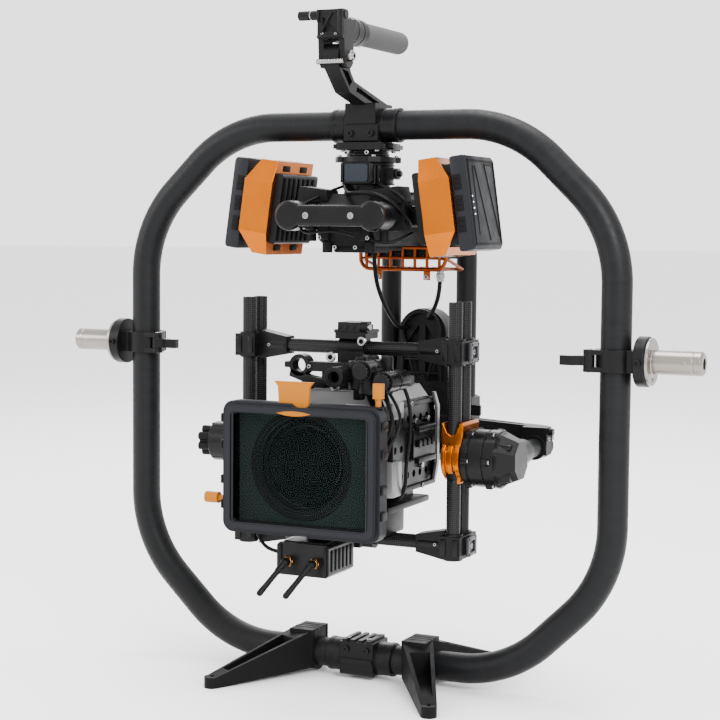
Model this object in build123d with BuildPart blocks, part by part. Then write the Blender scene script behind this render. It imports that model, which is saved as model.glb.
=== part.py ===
from build123d import *
import os
from math import pi, radians, tan

os.makedirs("parts", exist_ok=True)

# A camera gimbal stabilizer carried in an octagonal ring. Millimetres.
# The origin is on the floor under the ring's centre, +Z is up, and the lens looks along -Y.

# Ring and its joiners
TUBE_R = 16
TUBE_WALL = 2.5
RING_HALF_WIDTH = 282
RING_HALF_HEIGHT = 292
RING_TOP = 607
RING_BOTTOM = RING_TOP - 2 * RING_HALF_HEIGHT
CORNER_CUT_X = 113
CORNER_CUT_Z = 110
RING_BEND = 135
JOINER_WEB = 4
JOINER_HALF = 39
SLEEVE_R = 18.3
BLOCK_HALF = 20

# Feet
FOOT_X = 68
FOOT_HALF_WIDTH = 14
FOOT_CLAMP_R = 20.5
FOOT_TOP = 50
FOOT_TIP_X = 127
FOOT_TIP_Y = 116

# Side clamps, their levers and the mounting pins
SIDE_Z = 363
CLAMP_R = 21
CLAMP_HALF_HEIGHT = 11.5
LEVER_X = RING_HALF_WIDTH - 24
LEVER_Y = -15
DISC_START = 306
DISC_END = 318
FLANGE_END = 321.5
SIDE_PIN_END = 374
SIDE_PIN_R = 12.5

# Top handle
GRIP_Z = 703
GRIP_R = 12.5
GRIP_START = -29
GRIP_END = 85
BRACKET_FRONT = -96
TILT_BOLT_Y = -82
TILT_BOLT_Z = 674
KNOB_Y = -90
KNOB_R = 5
KNOB_Z = 716

# Pan axis (the Z axis) and pan frame
STATOR_BOTTOM = 567
PAN_GAP = 0.3
PAN_TUBE_X = 48
PAN_TUBE_R = 12
PAN_TUBE_Z = 509
PAN_FRONT_Y = -80
PAN_BACK_Y = 174
PAN_BEND = 50

# Battery bays lean inwards at the top
BAY_TILT = 8
BAY_X = 89
BAY_Z = 517
BAY_Y = -15

# Roll axis along Y and the roll arm
AXIS_Z = 257
ROLL_MOTOR_R = 38
ROLL_MOTOR_FRONT = 139
HUB_R = 33
ARM_X = 175
ARM_TUBE_Z = 260
ARM_TUBE_R = 10

# Tilt axis along X, and the payload cage
AXIS_Y = -30
TILT_MOTOR_START = 134
TILT_MOTOR_R = 30.5
CAGE_TUBE_R = 7.5
UPRIGHT_X = 122
UPRIGHT_YS = (-43, -18)
CAGE_BOTTOM = 152
CAGE_TOP = 420
BAR_Y = -30.5
BAR_ZS = (163, 368)
BAR_HALF = 113

# Lens and filter box
LENS_Z = 255
LENS_R = 45
BOX_X = 5
BOX_Z = 251
BOX_WIDTH = 178
BOX_HEIGHT = 136
BOX_FRONT = -172
BOX_BACK = -152
FILTER_WIDTH = 158
FILTER_FRONT = -166.5
FILTER_BACK = -163

# Fits
SHAFT_R = 6
PIVOT_R = 2.5
RUNNING_FIT = 0.05


def save(piece, label):
    """Label a finished piece and write its STEP file."""
    piece.part.label = label
    export_step(piece.part, f"parts/{label}.step")


def save_pair(piece, label):
    """Write a right-hand piece and its mirror image."""
    save(piece, f"{label}_right")
    with BuildPart() as other:
        mirror(piece.part, about=Plane.YZ)
    save(other, f"{label}_left")


def box_between(low, high, mode=Mode.ADD):
    """A box between two opposite corners, in the part being built."""
    middle = tuple((a + b) / 2 for a, b in zip(low, high))
    with Locations(middle):
        Box(*[abs(b - a) for a, b in zip(low, high)], mode=mode)


def rod_between(start, end, radius, mode=Mode.ADD):
    """A round rod between two points, in the part being built."""
    first = Vector(*start)
    span = Vector(*end) - first
    with Locations(Plane(origin=first + span * 0.5, z_dir=span)):
        Cylinder(radius, span.length, mode=mode)


def slab(points, plane, thickness, corner=0, mode=Mode.ADD):
    """A closed outline given thickness to both sides of its plane."""
    with BuildSketch(plane) as outline:
        Polygon(*points, align=None)
        if corner:
            fillet(outline.vertices(), corner)
    extrude(outline.sketch, amount=thickness / 2, both=True, mode=mode)


def tube_along(points, bends, outer_r, inner_r=0):
    """A round tube along straight runs joined by tangent arcs."""
    with BuildLine() as path:
        FilletPolyline(*points, radius=bends)
    with BuildSketch(Plane(origin=path.line @ 0, z_dir=path.line % 0)) as section:
        Circle(outer_r)
        if inner_r:
            Circle(inner_r, mode=Mode.SUBTRACT)
    sweep(section.sketch, path=path.line)
    return path.wires()[0].length


def cap_screw(seat, direction, radius, height):
    """A screw head with a hexagon socket, standing on its seat."""
    top = Vector(*seat) + Vector(*direction).normalized() * height
    rod_between(seat, tuple(top), radius)
    with BuildSketch(Plane(origin=top, z_dir=direction)) as socket:
        RegularPolygon(radius * 0.55, 6)
    extrude(socket.sketch, amount=-height * 0.6, mode=Mode.SUBTRACT)


def cable(points, diameter, label):
    """A cable held at both ends, with every bend as wide as its runs allow."""
    corners = [Vector(*point) for point in points]
    bends = []
    for before, here, after in zip(corners, corners[1:], corners[2:]):
        turn = (here - before).get_angle(after - here)
        shorter = min((here - before).length, (after - here).length)
        bends.append(0.45 * shorter / tan(radians(turn / 2)))
    with BuildPart() as piece:
        length = tube_along(points, bends, diameter / 2)
    section = pi * (diameter / 2) ** 2
    print(label, "bend radii", [round(bend, 1) for bend in bends], "length", round(length, 1),
          "volume ratio", round(piece.part.volume / (section * length), 4))
    return piece


# ---------------------------------------------------------------- ring

with BuildPart() as ring_half:
    ring_run = RING_HALF_WIDTH - CORNER_CUT_X
    ring_path = [
        (JOINER_WEB, 0, RING_TOP),
        (ring_run, 0, RING_TOP),
        (RING_HALF_WIDTH, 0, RING_TOP - CORNER_CUT_Z),
        (RING_HALF_WIDTH, 0, RING_BOTTOM + CORNER_CUT_Z),
        (ring_run, 0, RING_BOTTOM),
        (JOINER_WEB, 0, RING_BOTTOM),
    ]
    tube_along(ring_path, RING_BEND, TUBE_R, TUBE_R - TUBE_WALL)
save_pair(ring_half, "ring_half")


def joiner(z, low, high):
    """A split sleeve over both tube ends, with a clamp block and a web between the tubes."""
    with BuildPart() as sleeve:
        rod_between((-JOINER_HALF, 0, z), (JOINER_HALF, 0, z), SLEEVE_R)
        box_between((-BLOCK_HALF, -BLOCK_HALF, low), (BLOCK_HALF, BLOCK_HALF, high))
        chamfer(sleeve.edges().filter_by(Axis.X).group_by(Axis.Z)[0], 2)
        for side in (-1, 1):
            rod_between((side * JOINER_WEB, 0, z), (side * (JOINER_HALF + 1), 0, z), TUBE_R,
                        Mode.SUBTRACT)
            box_between((side * 31 - 0.6, -SLEEVE_R, z - 0.4), (side * 31 + 0.6, SLEEVE_R, z + 0.4),
                        Mode.SUBTRACT)
    return sleeve


top_joiner = joiner(RING_TOP, 588, 608)
save(top_joiner, "ring_top_joiner")

with BuildPart() as bottom_joiner:
    add(joiner(RING_BOTTOM, 5, 42).part)
    for rib in range(4):
        rib_x = -17 + 9.5 * rib
        box_between((rib_x, -BLOCK_HALF, 42), (rib_x + 5, BLOCK_HALF, 45))
    for y in (-BLOCK_HALF, BLOCK_HALF):
        box_between((-19, y - 2, 18), (19, y + 2, 24))
save(bottom_joiner, "ring_bottom_joiner")

# ---------------------------------------------------------------- feet

with BuildPart() as foot:
    foot_low = FOOT_X - FOOT_HALF_WIDTH
    foot_high = FOOT_X + FOOT_HALF_WIDTH
    rod_between((foot_low, 0, RING_BOTTOM), (foot_high, 0, RING_BOTTOM), FOOT_CLAMP_R)
    box_between((foot_low, -20, RING_BOTTOM), (foot_high, 20, FOOT_TOP))
    for end in (-1, 1):
        start = Vector(FOOT_X, end * 8, 0)
        tip = Vector(FOOT_TIP_X, end * FOOT_TIP_Y, 0)
        along = (tip - start).normalized()
        across = Vector(0, 0, 1).cross(along)
        with BuildSketch(Plane(origin=start, x_dir=across, z_dir=along)) as root_section:
            with Locations((0, 29)):
                Rectangle(34, 42)
        with BuildSketch(Plane(origin=tip, x_dir=across, z_dir=along)) as tip_section:
            with Locations((0, 6)):
                Rectangle(17, 12)
        loft([root_section.sketch, tip_section.sketch])
        rod_between(tuple(tip), (tip.X, tip.Y, 12), 8.5)
        pocket_start = start + (tip - start) * 0.2
        pocket_end = start + (tip - start) * 0.86
        with BuildSketch(Plane(origin=pocket_start, x_dir=across, z_dir=along)) as deep_end:
            with Locations((0, 34)):
                Rectangle(22, 32)
        with BuildSketch(Plane(origin=pocket_end, x_dir=across, z_dir=along)) as shallow_end:
            with Locations((0, 14)):
                Rectangle(11, 8)
        loft([deep_end.sketch, shallow_end.sketch], mode=Mode.SUBTRACT)
        rod_between(tuple(tip), (tip.X, tip.Y, 13), 2.5, Mode.SUBTRACT)
    for slot in range(3):
        slot_y = -9 + 8 * slot
        box_between((foot_low, slot_y, FOOT_TOP - 1.5), (foot_high, slot_y + 2, FOOT_TOP), Mode.SUBTRACT)
    rod_between((foot_low - 20, 0, RING_BOTTOM), (foot_high + 20, 0, RING_BOTTOM), TUBE_R, Mode.SUBTRACT)
save_pair(foot, "foot")

# ---------------------------------------------------------------- side clamps

with BuildPart() as side_clamp:
    clamp_low = SIDE_Z - CLAMP_HALF_HEIGHT
    clamp_high = SIDE_Z + CLAMP_HALF_HEIGHT
    rod_between((RING_HALF_WIDTH, 0, clamp_low), (RING_HALF_WIDTH, 0, clamp_high), CLAMP_R)
    box_between((RING_HALF_WIDTH + 8, -14, clamp_low), (DISC_START, 14, clamp_high))
    rod_between((DISC_START, 0, SIDE_Z), (DISC_END, 0, SIDE_Z), 26)
    chamfer(side_clamp.edges().filter_by(GeomType.CIRCLE).sort_by(SortBy.RADIUS)[-2:], 1)
    rod_between((RING_HALF_WIDTH - 8, 21, clamp_low), (RING_HALF_WIDTH - 8, 21, clamp_high), 5)
    lug_outline = [
        (LEVER_X - 5, LEVER_Y - 2),
        (LEVER_X + 3, LEVER_Y - 5),
        (RING_HALF_WIDTH - 6, -19),
        (RING_HALF_WIDTH - 18, -6),
    ]
    for lug_low in (clamp_low, clamp_high - 5):
        rod_between((LEVER_X, LEVER_Y, lug_low), (LEVER_X, LEVER_Y, lug_low + 5), 6)
        slab(lug_outline, Plane.XY.offset(lug_low + 2.5), 5)
    rod_between((LEVER_X, LEVER_Y, clamp_low), (LEVER_X, LEVER_Y, clamp_high), PIVOT_R)
    rod_between((RING_HALF_WIDTH, 0, clamp_low - 1), (RING_HALF_WIDTH, 0, clamp_high + 1), TUBE_R,
                Mode.SUBTRACT)
save_pair(side_clamp, "side_clamp")

with BuildPart() as side_lever:
    lever_outline = [
        (LEVER_X + 2, LEVER_Y + 5),
        (LEVER_X - 12, LEVER_Y + 4),
        (LEVER_X - 19, LEVER_Y - 1),
        (LEVER_X - 29, LEVER_Y - 1),
        (LEVER_X - 29, LEVER_Y - 8),
        (LEVER_X - 16, LEVER_Y - 9),
        (LEVER_X - 9, LEVER_Y - 4),
        (LEVER_X, LEVER_Y - 5.5),
    ]
    slab(lever_outline, Plane.XY.offset(SIDE_Z), 10)
    rod_between((LEVER_X, LEVER_Y, SIDE_Z - 6.2), (LEVER_X, LEVER_Y, SIDE_Z + 6.2), 6)
    rod_between((LEVER_X, LEVER_Y, SIDE_Z - 7), (LEVER_X, LEVER_Y, SIDE_Z + 7), PIVOT_R + RUNNING_FIT,
                Mode.SUBTRACT)
save_pair(side_lever, "side_lever")

with BuildPart() as side_pin:
    rod_between((DISC_END, 0, SIDE_Z), (FLANGE_END, 0, SIDE_Z), 24.5)
    rod_between((FLANGE_END, 0, SIDE_Z), (SIDE_PIN_END, 0, SIDE_Z), SIDE_PIN_R)
    chamfer(side_pin.edges().filter_by(GeomType.CIRCLE).sort_by(Axis.X)[-1], 2)
save_pair(side_pin, "side_pin")

# ---------------------------------------------------------------- top handle

with BuildPart() as handle_arm:
    arm_outline = [
        (TILT_BOLT_Y - 13, TILT_BOLT_Z), (TILT_BOLT_Y - 11, 662), (-66, 638), (-22, 628), (-22, 620),
        (42, 620), (38, 630), (-54, 650), (-64, 660), (TILT_BOLT_Y + 14, TILT_BOLT_Z),
    ]
    slab(arm_outline, Plane.YZ, 17)
    rod_between((-8.5, TILT_BOLT_Y, TILT_BOLT_Z), (8.5, TILT_BOLT_Y, TILT_BOLT_Z), 13)
    box_between((-18, -22, 608), (18, 22, 630))
    upper_pocket = [(-86, 661), (-67, 644), (-60, 649), (-70, 659)]
    lower_pocket = [(-50, 640), (-22, 634), (20, 625), (30, 627), (-48, 645)]
    for pocket in (upper_pocket, lower_pocket):
        for side in (-1, 1):
            slab(pocket, Plane.YZ.offset(side * 8), 8, mode=Mode.SUBTRACT)
    rod_between((-10, -38, 640.5), (10, -38, 640.5), 3, Mode.SUBTRACT)
    rod_between((-10, 33, 625), (10, 33, 625), 2.5, Mode.SUBTRACT)
    rod_between((-10, TILT_BOLT_Y, TILT_BOLT_Z), (10, TILT_BOLT_Y, TILT_BOLT_Z),
                4 + RUNNING_FIT, Mode.SUBTRACT)
    rod_between((-20, 0, RING_TOP), (20, 0, RING_TOP), SLEEVE_R, Mode.SUBTRACT)
save(handle_arm, "handle_arm")

with BuildPart() as handle_bracket:
    box_between((-15, BRACKET_FRONT, 691), (15, BRACKET_FRONT + 10, 721))
    box_between((-15, BRACKET_FRONT + 10, 691), (15, BRACKET_FRONT + 30, 712))
    for side in (-1, 1):
        cheek_outline = [
            (BRACKET_FRONT + 2, 692), (TILT_BOLT_Y - 10, 667), (TILT_BOLT_Y - 5, 662),
            (TILT_BOLT_Y + 5, 662), (TILT_BOLT_Y + 11, 668), (TILT_BOLT_Y + 11, 692),
        ]
        slab(cheek_outline, Plane.YZ.offset(side * 12), 6)
    window = [(-9, 698), (9, 698), (-9, 714)]
    slab(window, Plane.XZ.offset(-BRACKET_FRONT), 5, mode=Mode.SUBTRACT)
    rod_between((-24, KNOB_Y, KNOB_Z), (-14, KNOB_Y, KNOB_Z), KNOB_R)
    rod_between((-25, KNOB_Y, KNOB_Z), (-5, KNOB_Y, KNOB_Z), PIVOT_R + RUNNING_FIT, Mode.SUBTRACT)
    rod_between((0, BRACKET_FRONT + 10, GRIP_Z), (0, GRIP_START, GRIP_Z), GRIP_R + 2)
    rod_between((0, GRIP_START, GRIP_Z), (0, GRIP_END - 11, GRIP_Z), 8)
    chamfer(handle_bracket.edges().filter_by(GeomType.CIRCLE).sort_by(SortBy.RADIUS)[-1], 1)
save(handle_bracket, "handle_bracket")

with BuildPart() as handle_hinge_bolt:
    rod_between((-15, TILT_BOLT_Y, TILT_BOLT_Z), (-18, TILT_BOLT_Y, TILT_BOLT_Z), 5)
    rod_between((15, TILT_BOLT_Y, TILT_BOLT_Z), (20, TILT_BOLT_Y, TILT_BOLT_Z), 6)
    chamfer(handle_hinge_bolt.edges().filter_by(GeomType.CIRCLE).sort_by(Axis.X)[-1], 1.5)
    rod_between((-9, TILT_BOLT_Y, TILT_BOLT_Z), (9, TILT_BOLT_Y, TILT_BOLT_Z), 4)
save(handle_hinge_bolt, "handle_hinge_bolt")

with BuildPart() as handle_grip:
    rod_between((0, GRIP_START, GRIP_Z), (0, GRIP_END, GRIP_Z), GRIP_R)
    fillet(handle_grip.edges().filter_by(GeomType.CIRCLE).sort_by(Axis.Y)[-1], 9)
    rod_between((0, GRIP_START, GRIP_Z), (0, GRIP_END - 11, GRIP_Z), 8, Mode.SUBTRACT)
save(handle_grip, "handle_grip")

with BuildPart() as handle_knob:
    rod_between((-39, KNOB_Y, KNOB_Z), (-26, KNOB_Y, KNOB_Z), KNOB_R)
    chamfer(handle_knob.edges().filter_by(GeomType.CIRCLE), 0.8)
    rod_between((-28, KNOB_Y, KNOB_Z), (-24.3, KNOB_Y, KNOB_Z), KNOB_R - 1)
    rod_between((-25, KNOB_Y, KNOB_Z), (-8, KNOB_Y, KNOB_Z), PIVOT_R)
save(handle_knob, "handle_knob")

# ---------------------------------------------------------------- pan axis

with BuildPart() as quick_release_plate:
    box_between((-27, -30, 580), (27, 30, 588))
    chamfer(quick_release_plate.edges().filter_by(Axis.Z), 5)
    rod_between((27, -12, 584), (36, -12, 584), 3.5)
    rod_between((-34, 8, 584), (-27, 8, 584), 3)
save(quick_release_plate, "quick_release_plate")

with BuildPart() as pan_stator:
    rod_between((0, 0, 573), (0, 0, 580), 20)
    rod_between((0, 0, STATOR_BOTTOM), (0, 0, 573), 31)
    with PolarLocations(29, 4, start_angle=35):
        with Locations((0, 0, 570)):
            Box(12, 14, 6)
    rod_between((0, 0, 549), (0, 0, STATOR_BOTTOM), SHAFT_R)
save(pan_stator, "pan_stator")

with BuildPart() as pan_motor_housing:
    motor_top = STATOR_BOTTOM - PAN_GAP
    rod_between((0, 0, 543), (0, 0, motor_top), 28)
    box_between((-17, -30, 544), (17, 0, motor_top))
    box_between((0, -9, 549), (34, 9, 561))
    fillet(pan_motor_housing.edges().filter_by(Axis.Z).group_by(Axis.Y)[0], 3)
    rod_between((0, 0, 533), (0, 0, 543), 24)
    with PolarLocations(24, 12):
        with Locations((0, 0, 538)):
            Box(3, 3, 6, mode=Mode.SUBTRACT)
    rod_between((0, 0, 548), (0, 0, motor_top), SHAFT_R + RUNNING_FIT, Mode.SUBTRACT)
save(pan_motor_housing, "pan_motor_housing")

with BuildPart() as pan_motor_panel:
    with BuildSketch(Plane.XZ.offset(30)):
        with Locations((0, 555.3)):
            RectangleRounded(27, 19, 3)
    extrude(amount=1.2)
save(pan_motor_panel, "pan_motor_panel")

# ---------------------------------------------------------------- pan frame

with BuildPart() as pan_tube:
    pan_tube_path = [
        (PAN_TUBE_X, PAN_FRONT_Y, PAN_TUBE_Z),
        (PAN_TUBE_X, PAN_BACK_Y, PAN_TUBE_Z),
        (PAN_TUBE_X, PAN_BACK_Y, 262),
    ]
    tube_along(pan_tube_path, PAN_BEND, PAN_TUBE_R, PAN_TUBE_R - 2)
save_pair(pan_tube, "pan_tube")

with BuildPart() as front_link:
    with BuildSketch(Plane.XZ.offset(-PAN_FRONT_Y)):
        with Locations((-PAN_TUBE_X, PAN_TUBE_Z), (PAN_TUBE_X, PAN_TUBE_Z)):
            Circle(16)
        with Locations((0, PAN_TUBE_Z)):
            Rectangle(2 * PAN_TUBE_X, 22)
    extrude(amount=18)
    fillet(front_link.faces().sort_by(Axis.Y)[0].edges(), 4)
save(front_link, "front_link")

with BuildPart() as control_unit:
    unit_outline = [
        (-58, 492), (-46, 477), (98, 477), (112, 488), (112, 520), (98, 533), (-36, 533), (-58, 518),
    ]
    slab(unit_outline, Plane.YZ, 66)
    chamfer(control_unit.edges().filter_by(Axis.Y), 5)
    for rib in range(6):
        rib_y = 36 + 10 * rib
        box_between((-24, rib_y, 533), (24, rib_y + 4, 537))
    for side in (-1, 1):
        for clamp_y in (-48, 72):
            box_between((side * 28, clamp_y, 494), (side * 64, clamp_y + 20, 525))
            rod_between((side * PAN_TUBE_X, clamp_y - 1, PAN_TUBE_Z),
                        (side * PAN_TUBE_X, clamp_y + 21, PAN_TUBE_Z), PAN_TUBE_R, Mode.SUBTRACT)
save(control_unit, "control_unit")

bay_axis = Vector(1, 0, 0).rotate(Axis.Y, -BAY_TILT)
BAY = Plane(origin=(BAY_X, BAY_Y, BAY_Z), x_dir=bay_axis, z_dir=(0, -1, 0))
BAY_SIDE = Plane(origin=(BAY_X, BAY_Y, BAY_Z), x_dir=(0, 1, 0), z_dir=bay_axis)


def bay_plane(y):
    """The bay's outline plane (across, up) at a distance y in front of the bay's middle."""
    return BAY.offset(y)


with BuildPart() as battery_bay:
    bay_outline = [(0, -51), (18, -51), (34, -28), (34, 28), (20, 51), (0, 51)]
    slab(bay_outline, BAY, 92)
    slab([(3.6, -43), (40, -43), (40, 43), (3.6, 43)], bay_plane(-6), 92, mode=Mode.SUBTRACT)
    slab([(-1, -34), (5, -34), (5, 34), (-1, 34)], bay_plane(-6), 92, mode=Mode.SUBTRACT)
    for up in (-1, 1):
        with BuildSketch(BAY_SIDE) as slope:
            Polygon((-46, up * 28), (-50, up * 60), (-36, up * 60), align=None)
        extrude(slope.sketch, amount=60, both=True, mode=Mode.SUBTRACT)
        slot_outline = [(6, up * 42), (14, up * 42), (14, up * 52), (6, up * 52)]
        slab(slot_outline, bay_plane(-8), 46, mode=Mode.SUBTRACT)
save_pair(battery_bay, "battery_bay")

with BuildPart() as battery_mounts:
    slab([(-9, -38), (0, -38), (0, 38), (-9, 38)], bay_plane(-2), 84, corner=3)
    box_between((PAN_TUBE_X - 2, -27, 500), (BAY_X - 6, 20, 520))
    rod_between((PAN_TUBE_X, -28, PAN_TUBE_Z), (PAN_TUBE_X, 21, PAN_TUBE_Z), PAN_TUBE_R, Mode.SUBTRACT)
    split(bisect_by=Plane.YZ.offset(PAN_TUBE_X + 8), keep=Keep.TOP)
    mirror(about=Plane.YZ)
save(battery_mounts, "battery_mounts")

with BuildPart() as battery:
    slab([(4, -42.6), (35, -42.6), (35, 42.6), (4, 42.6)], bay_plane(-7), 84)
    slab([(34.4, -50), (54, -49), (54, 49), (34.4, 50)], bay_plane(-4), 92, corner=2.5)
    for notch in range(3):
        notch_w = -28 + 22 * notch
        slab([(37, notch_w), (46, notch_w), (46, notch_w + 15), (37, notch_w + 15)], bay_plane(42), 6,
             mode=Mode.SUBTRACT)
save_pair(battery, "battery")

with BuildPart() as vent_guard:
    box_between((-55, 94, 466), (55, 98, 477))
    box_between((-55, 94, 449), (55, 150, 453))
    box_between((-55, 94, 449), (55, 98, 453))
    for side in (-1, 1):
        box_between((side * 53 - 2, 94, 449), (side * 53 + 2, 150, 477))
        box_between((side * 30 - 4, 96, 438), (side * 30 + 4, 99, 452))
    for bar in range(7):
        bar_x = -45 + 15 * bar
        box_between((bar_x - 1.75, 94, 449), (bar_x + 1.75, 98, 477))
    for opening in range(6):
        open_x = -37.5 + 15 * opening
        box_between((open_x - 5.75, 102, 448), (open_x + 5.75, 144, 454), Mode.SUBTRACT)
    fillet(vent_guard.edges().filter_by(Axis.Z).group_by(Axis.Y)[-1], 1.5)
save(vent_guard, "vent_guard")

# ---------------------------------------------------------------- roll axis

with BuildPart() as roll_motor_bracket:
    with BuildSketch(Plane.XZ.offset(-170)) as bracket_outline:
        Polygon((-63, 262), (63, 262), (63, 300), (34, 312), (30, 372), (-30, 372), (-34, 312), (-63, 300),
                align=None)
        with Locations((0, 373)):
            Circle(30)
        with Locations((0, AXIS_Z)):
            Circle(ROLL_MOTOR_R)
    extrude(bracket_outline.sketch, amount=14, both=True)
    for side in (-1, 1):
        rod_between((side * PAN_TUBE_X, PAN_BACK_Y, 262), (side * PAN_TUBE_X, PAN_BACK_Y, 340), PAN_TUBE_R,
                    Mode.SUBTRACT)
        slab([(side * 4, 318), (side * 24, 318), (side * 20, 362), (side * 4, 384)],
             Plane.XZ.offset(-156), 12, mode=Mode.SUBTRACT)
    box_between((60, 156, 280), (74, 160, 292))
save(roll_motor_bracket, "roll_motor_bracket")

with BuildPart() as roll_motor_housing:
    rod_between((0, ROLL_MOTOR_FRONT, AXIS_Z), (0, 156, AXIS_Z), ROLL_MOTOR_R)
    chamfer(roll_motor_housing.edges().filter_by(GeomType.CIRCLE).sort_by(Axis.Y)[0], 1.5)
    rod_between((0, ROLL_MOTOR_FRONT, AXIS_Z), (0, 152, AXIS_Z), SHAFT_R + RUNNING_FIT, Mode.SUBTRACT)
save(roll_motor_housing, "roll_motor_housing")

with BuildPart() as roll_arm:
    rod_between((0, 116, AXIS_Z), (0, ROLL_MOTOR_FRONT - PAN_GAP, AXIS_Z), HUB_R)
    rod_between((0, ROLL_MOTOR_FRONT - 1, AXIS_Z), (0, 151, AXIS_Z), SHAFT_R)
    for side in (-1, 1):
        beam_outline = [
            (side * 0, 136), (side * 30, 137), (side * 70, 126), (side * (ARM_X + 6), 84),
            (side * (ARM_X + 14), 74), (side * (ARM_X + 14), 58), (side * (ARM_X - 14), 58),
            (side * (ARM_X - 16), 74), (side * 60, 112), (side * 20, 116), (side * 0, 116),
        ]
        slab(beam_outline, Plane.XY.offset(267), 30)
        window = [(side * 92, 105), (side * 152, 82), (side * 152, 88), (side * 92, 111)]
        slab(window, Plane.XY.offset(267), 40, mode=Mode.SUBTRACT)
        rod_between((side * (ARM_X + 12), 66, 277), (side * (ARM_X + 19), 66, 277), 4)
        rod_between((side * ARM_X, 56, ARM_TUBE_Z), (side * ARM_X, 84, ARM_TUBE_Z), 13.5)
        rod_between((side * ARM_X, 50, ARM_TUBE_Z), (side * ARM_X, 78, ARM_TUBE_Z), ARM_TUBE_R,
                    Mode.SUBTRACT)
save(roll_arm, "roll_arm")

with BuildPart() as arm_tubes:
    for side, tube_front in ((-1, 20), (1, 2)):
        rod_between((side * ARM_X, tube_front, ARM_TUBE_Z), (side * ARM_X, 78, ARM_TUBE_Z), ARM_TUBE_R)
save(arm_tubes, "arm_tubes")

# ---------------------------------------------------------------- tilt axis

with BuildPart() as tilt_motor:
    rod_between((TILT_MOTOR_START, AXIS_Y, AXIS_Z), (172, AXIS_Y, AXIS_Z), TILT_MOTOR_R - 1.5)
    for band_start, band_end in ((136, 141), (160, 171)):
        rod_between((band_start, AXIS_Y, AXIS_Z), (band_end, AXIS_Y, AXIS_Z), TILT_MOTOR_R)
    with BuildSketch(Plane(origin=(171, AXIS_Y, AXIS_Z), x_dir=(0, 1, 0), z_dir=(1, 0, 0))) as cap_base:
        RegularPolygon(TILT_MOTOR_R, 8, rotation=22.5)
    with BuildSketch(Plane(origin=(192, AXIS_Y, AXIS_Z), x_dir=(0, 1, 0), z_dir=(1, 0, 0))) as cap_top:
        RegularPolygon(21, 8, rotation=22.5)
    loft([cap_base.sketch, cap_top.sketch])
    for lug_start in (137, 160):
        with BuildSketch(Plane(origin=(lug_start, AXIS_Y, AXIS_Z), x_dir=(0, 1, 0), z_dir=(1, 0, 0))) as lugs:
            with PolarLocations(TILT_MOTOR_R - 1, 6):
                Circle(4)
        extrude(lugs.sketch, amount=6)
    rod_between((ARM_X, -12, ARM_TUBE_Z), (ARM_X, 20, ARM_TUBE_Z), 13.5)
    rod_between((ARM_X, 2, ARM_TUBE_Z), (ARM_X, 21, ARM_TUBE_Z), ARM_TUBE_R, Mode.SUBTRACT)
    rod_between((TILT_MOTOR_START, AXIS_Y, AXIS_Z), (146, AXIS_Y, AXIS_Z), SHAFT_R + RUNNING_FIT,
                Mode.SUBTRACT)
save(tilt_motor, "tilt_motor")

with BuildPart() as tilt_bearing:
    rod_between((-171, AXIS_Y, AXIS_Z), (-TILT_MOTOR_START, AXIS_Y, AXIS_Z), 22)
    chamfer(tilt_bearing.edges().filter_by(GeomType.CIRCLE), 1.5)
    box_between((-188, -11, 246), (-150, 20, 274))
    rod_between((-ARM_X, 0, ARM_TUBE_Z), (-ARM_X, 40, ARM_TUBE_Z), 13.5)
    rod_between((-ARM_X, 20, ARM_TUBE_Z), (-ARM_X, 41, ARM_TUBE_Z), ARM_TUBE_R, Mode.SUBTRACT)
    rod_between((-172, AXIS_Y, AXIS_Z), (-154, AXIS_Y, AXIS_Z), PIVOT_R + RUNNING_FIT, Mode.SUBTRACT)
    rod_between((-148, AXIS_Y, AXIS_Z), (-TILT_MOTOR_START, AXIS_Y, AXIS_Z), SHAFT_R + RUNNING_FIT,
                Mode.SUBTRACT)
save(tilt_bearing, "tilt_bearing")

with BuildPart() as tilt_lock_knob:
    knob_plane = Plane(origin=(-172, AXIS_Y, AXIS_Z), x_dir=(0, 1, 0), z_dir=(-1, 0, 0))
    with BuildSketch(knob_plane):
        Circle(12)
        with PolarLocations(12.5, 7):
            Circle(4.5)
    extrude(amount=14)
    rod_between((-188.5, AXIS_Y, AXIS_Z), (-186, AXIS_Y, AXIS_Z), 7)
    rod_between((-172, AXIS_Y, AXIS_Z), (-156, AXIS_Y, AXIS_Z), PIVOT_R)
save(tilt_lock_knob, "tilt_lock_knob")

with BuildPart() as tilt_clamp:
    clamp_outline = [
        (-58, 240), (-50, 230), (-10, 230), (-2, 240), (-2, 268), (-6, 296), (-12, 296), (-22, 274),
        (-38, 274), (-48, 296), (-54, 296), (-58, 268),
    ]
    slab(clamp_outline, Plane.YZ.offset(118.5), 23)
    rod_between((130, AXIS_Y, AXIS_Z), (TILT_MOTOR_START - PAN_GAP, AXIS_Y, AXIS_Z), 21)
    rod_between((130, AXIS_Y, AXIS_Z), (144, AXIS_Y, AXIS_Z), SHAFT_R)
    for groove in (116, 124):
        box_between((groove, -60, 234), (groove + 2, -56, 262), Mode.SUBTRACT)
    for y in UPRIGHT_YS:
        rod_between((UPRIGHT_X, y, 225), (UPRIGHT_X, y, 300), CAGE_TUBE_R, Mode.SUBTRACT)
save_pair(tilt_clamp, "tilt_clamp")

# ---------------------------------------------------------------- payload cage

with BuildPart() as cage_tubes:
    for side in (-1, 1):
        for y in UPRIGHT_YS:
            rod_between((side * UPRIGHT_X, y, CAGE_BOTTOM), (side * UPRIGHT_X, y, CAGE_TOP), CAGE_TUBE_R)
            rod_between((side * UPRIGHT_X, y, CAGE_TOP - 30), (side * UPRIGHT_X, y, CAGE_TOP),
                        CAGE_TUBE_R - 1.5, Mode.SUBTRACT)
    for z in BAR_ZS:
        rod_between((-BAR_HALF, BAR_Y, z), (BAR_HALF, BAR_Y, z), CAGE_TUBE_R)
save(cage_tubes, "cage_tubes")

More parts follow.
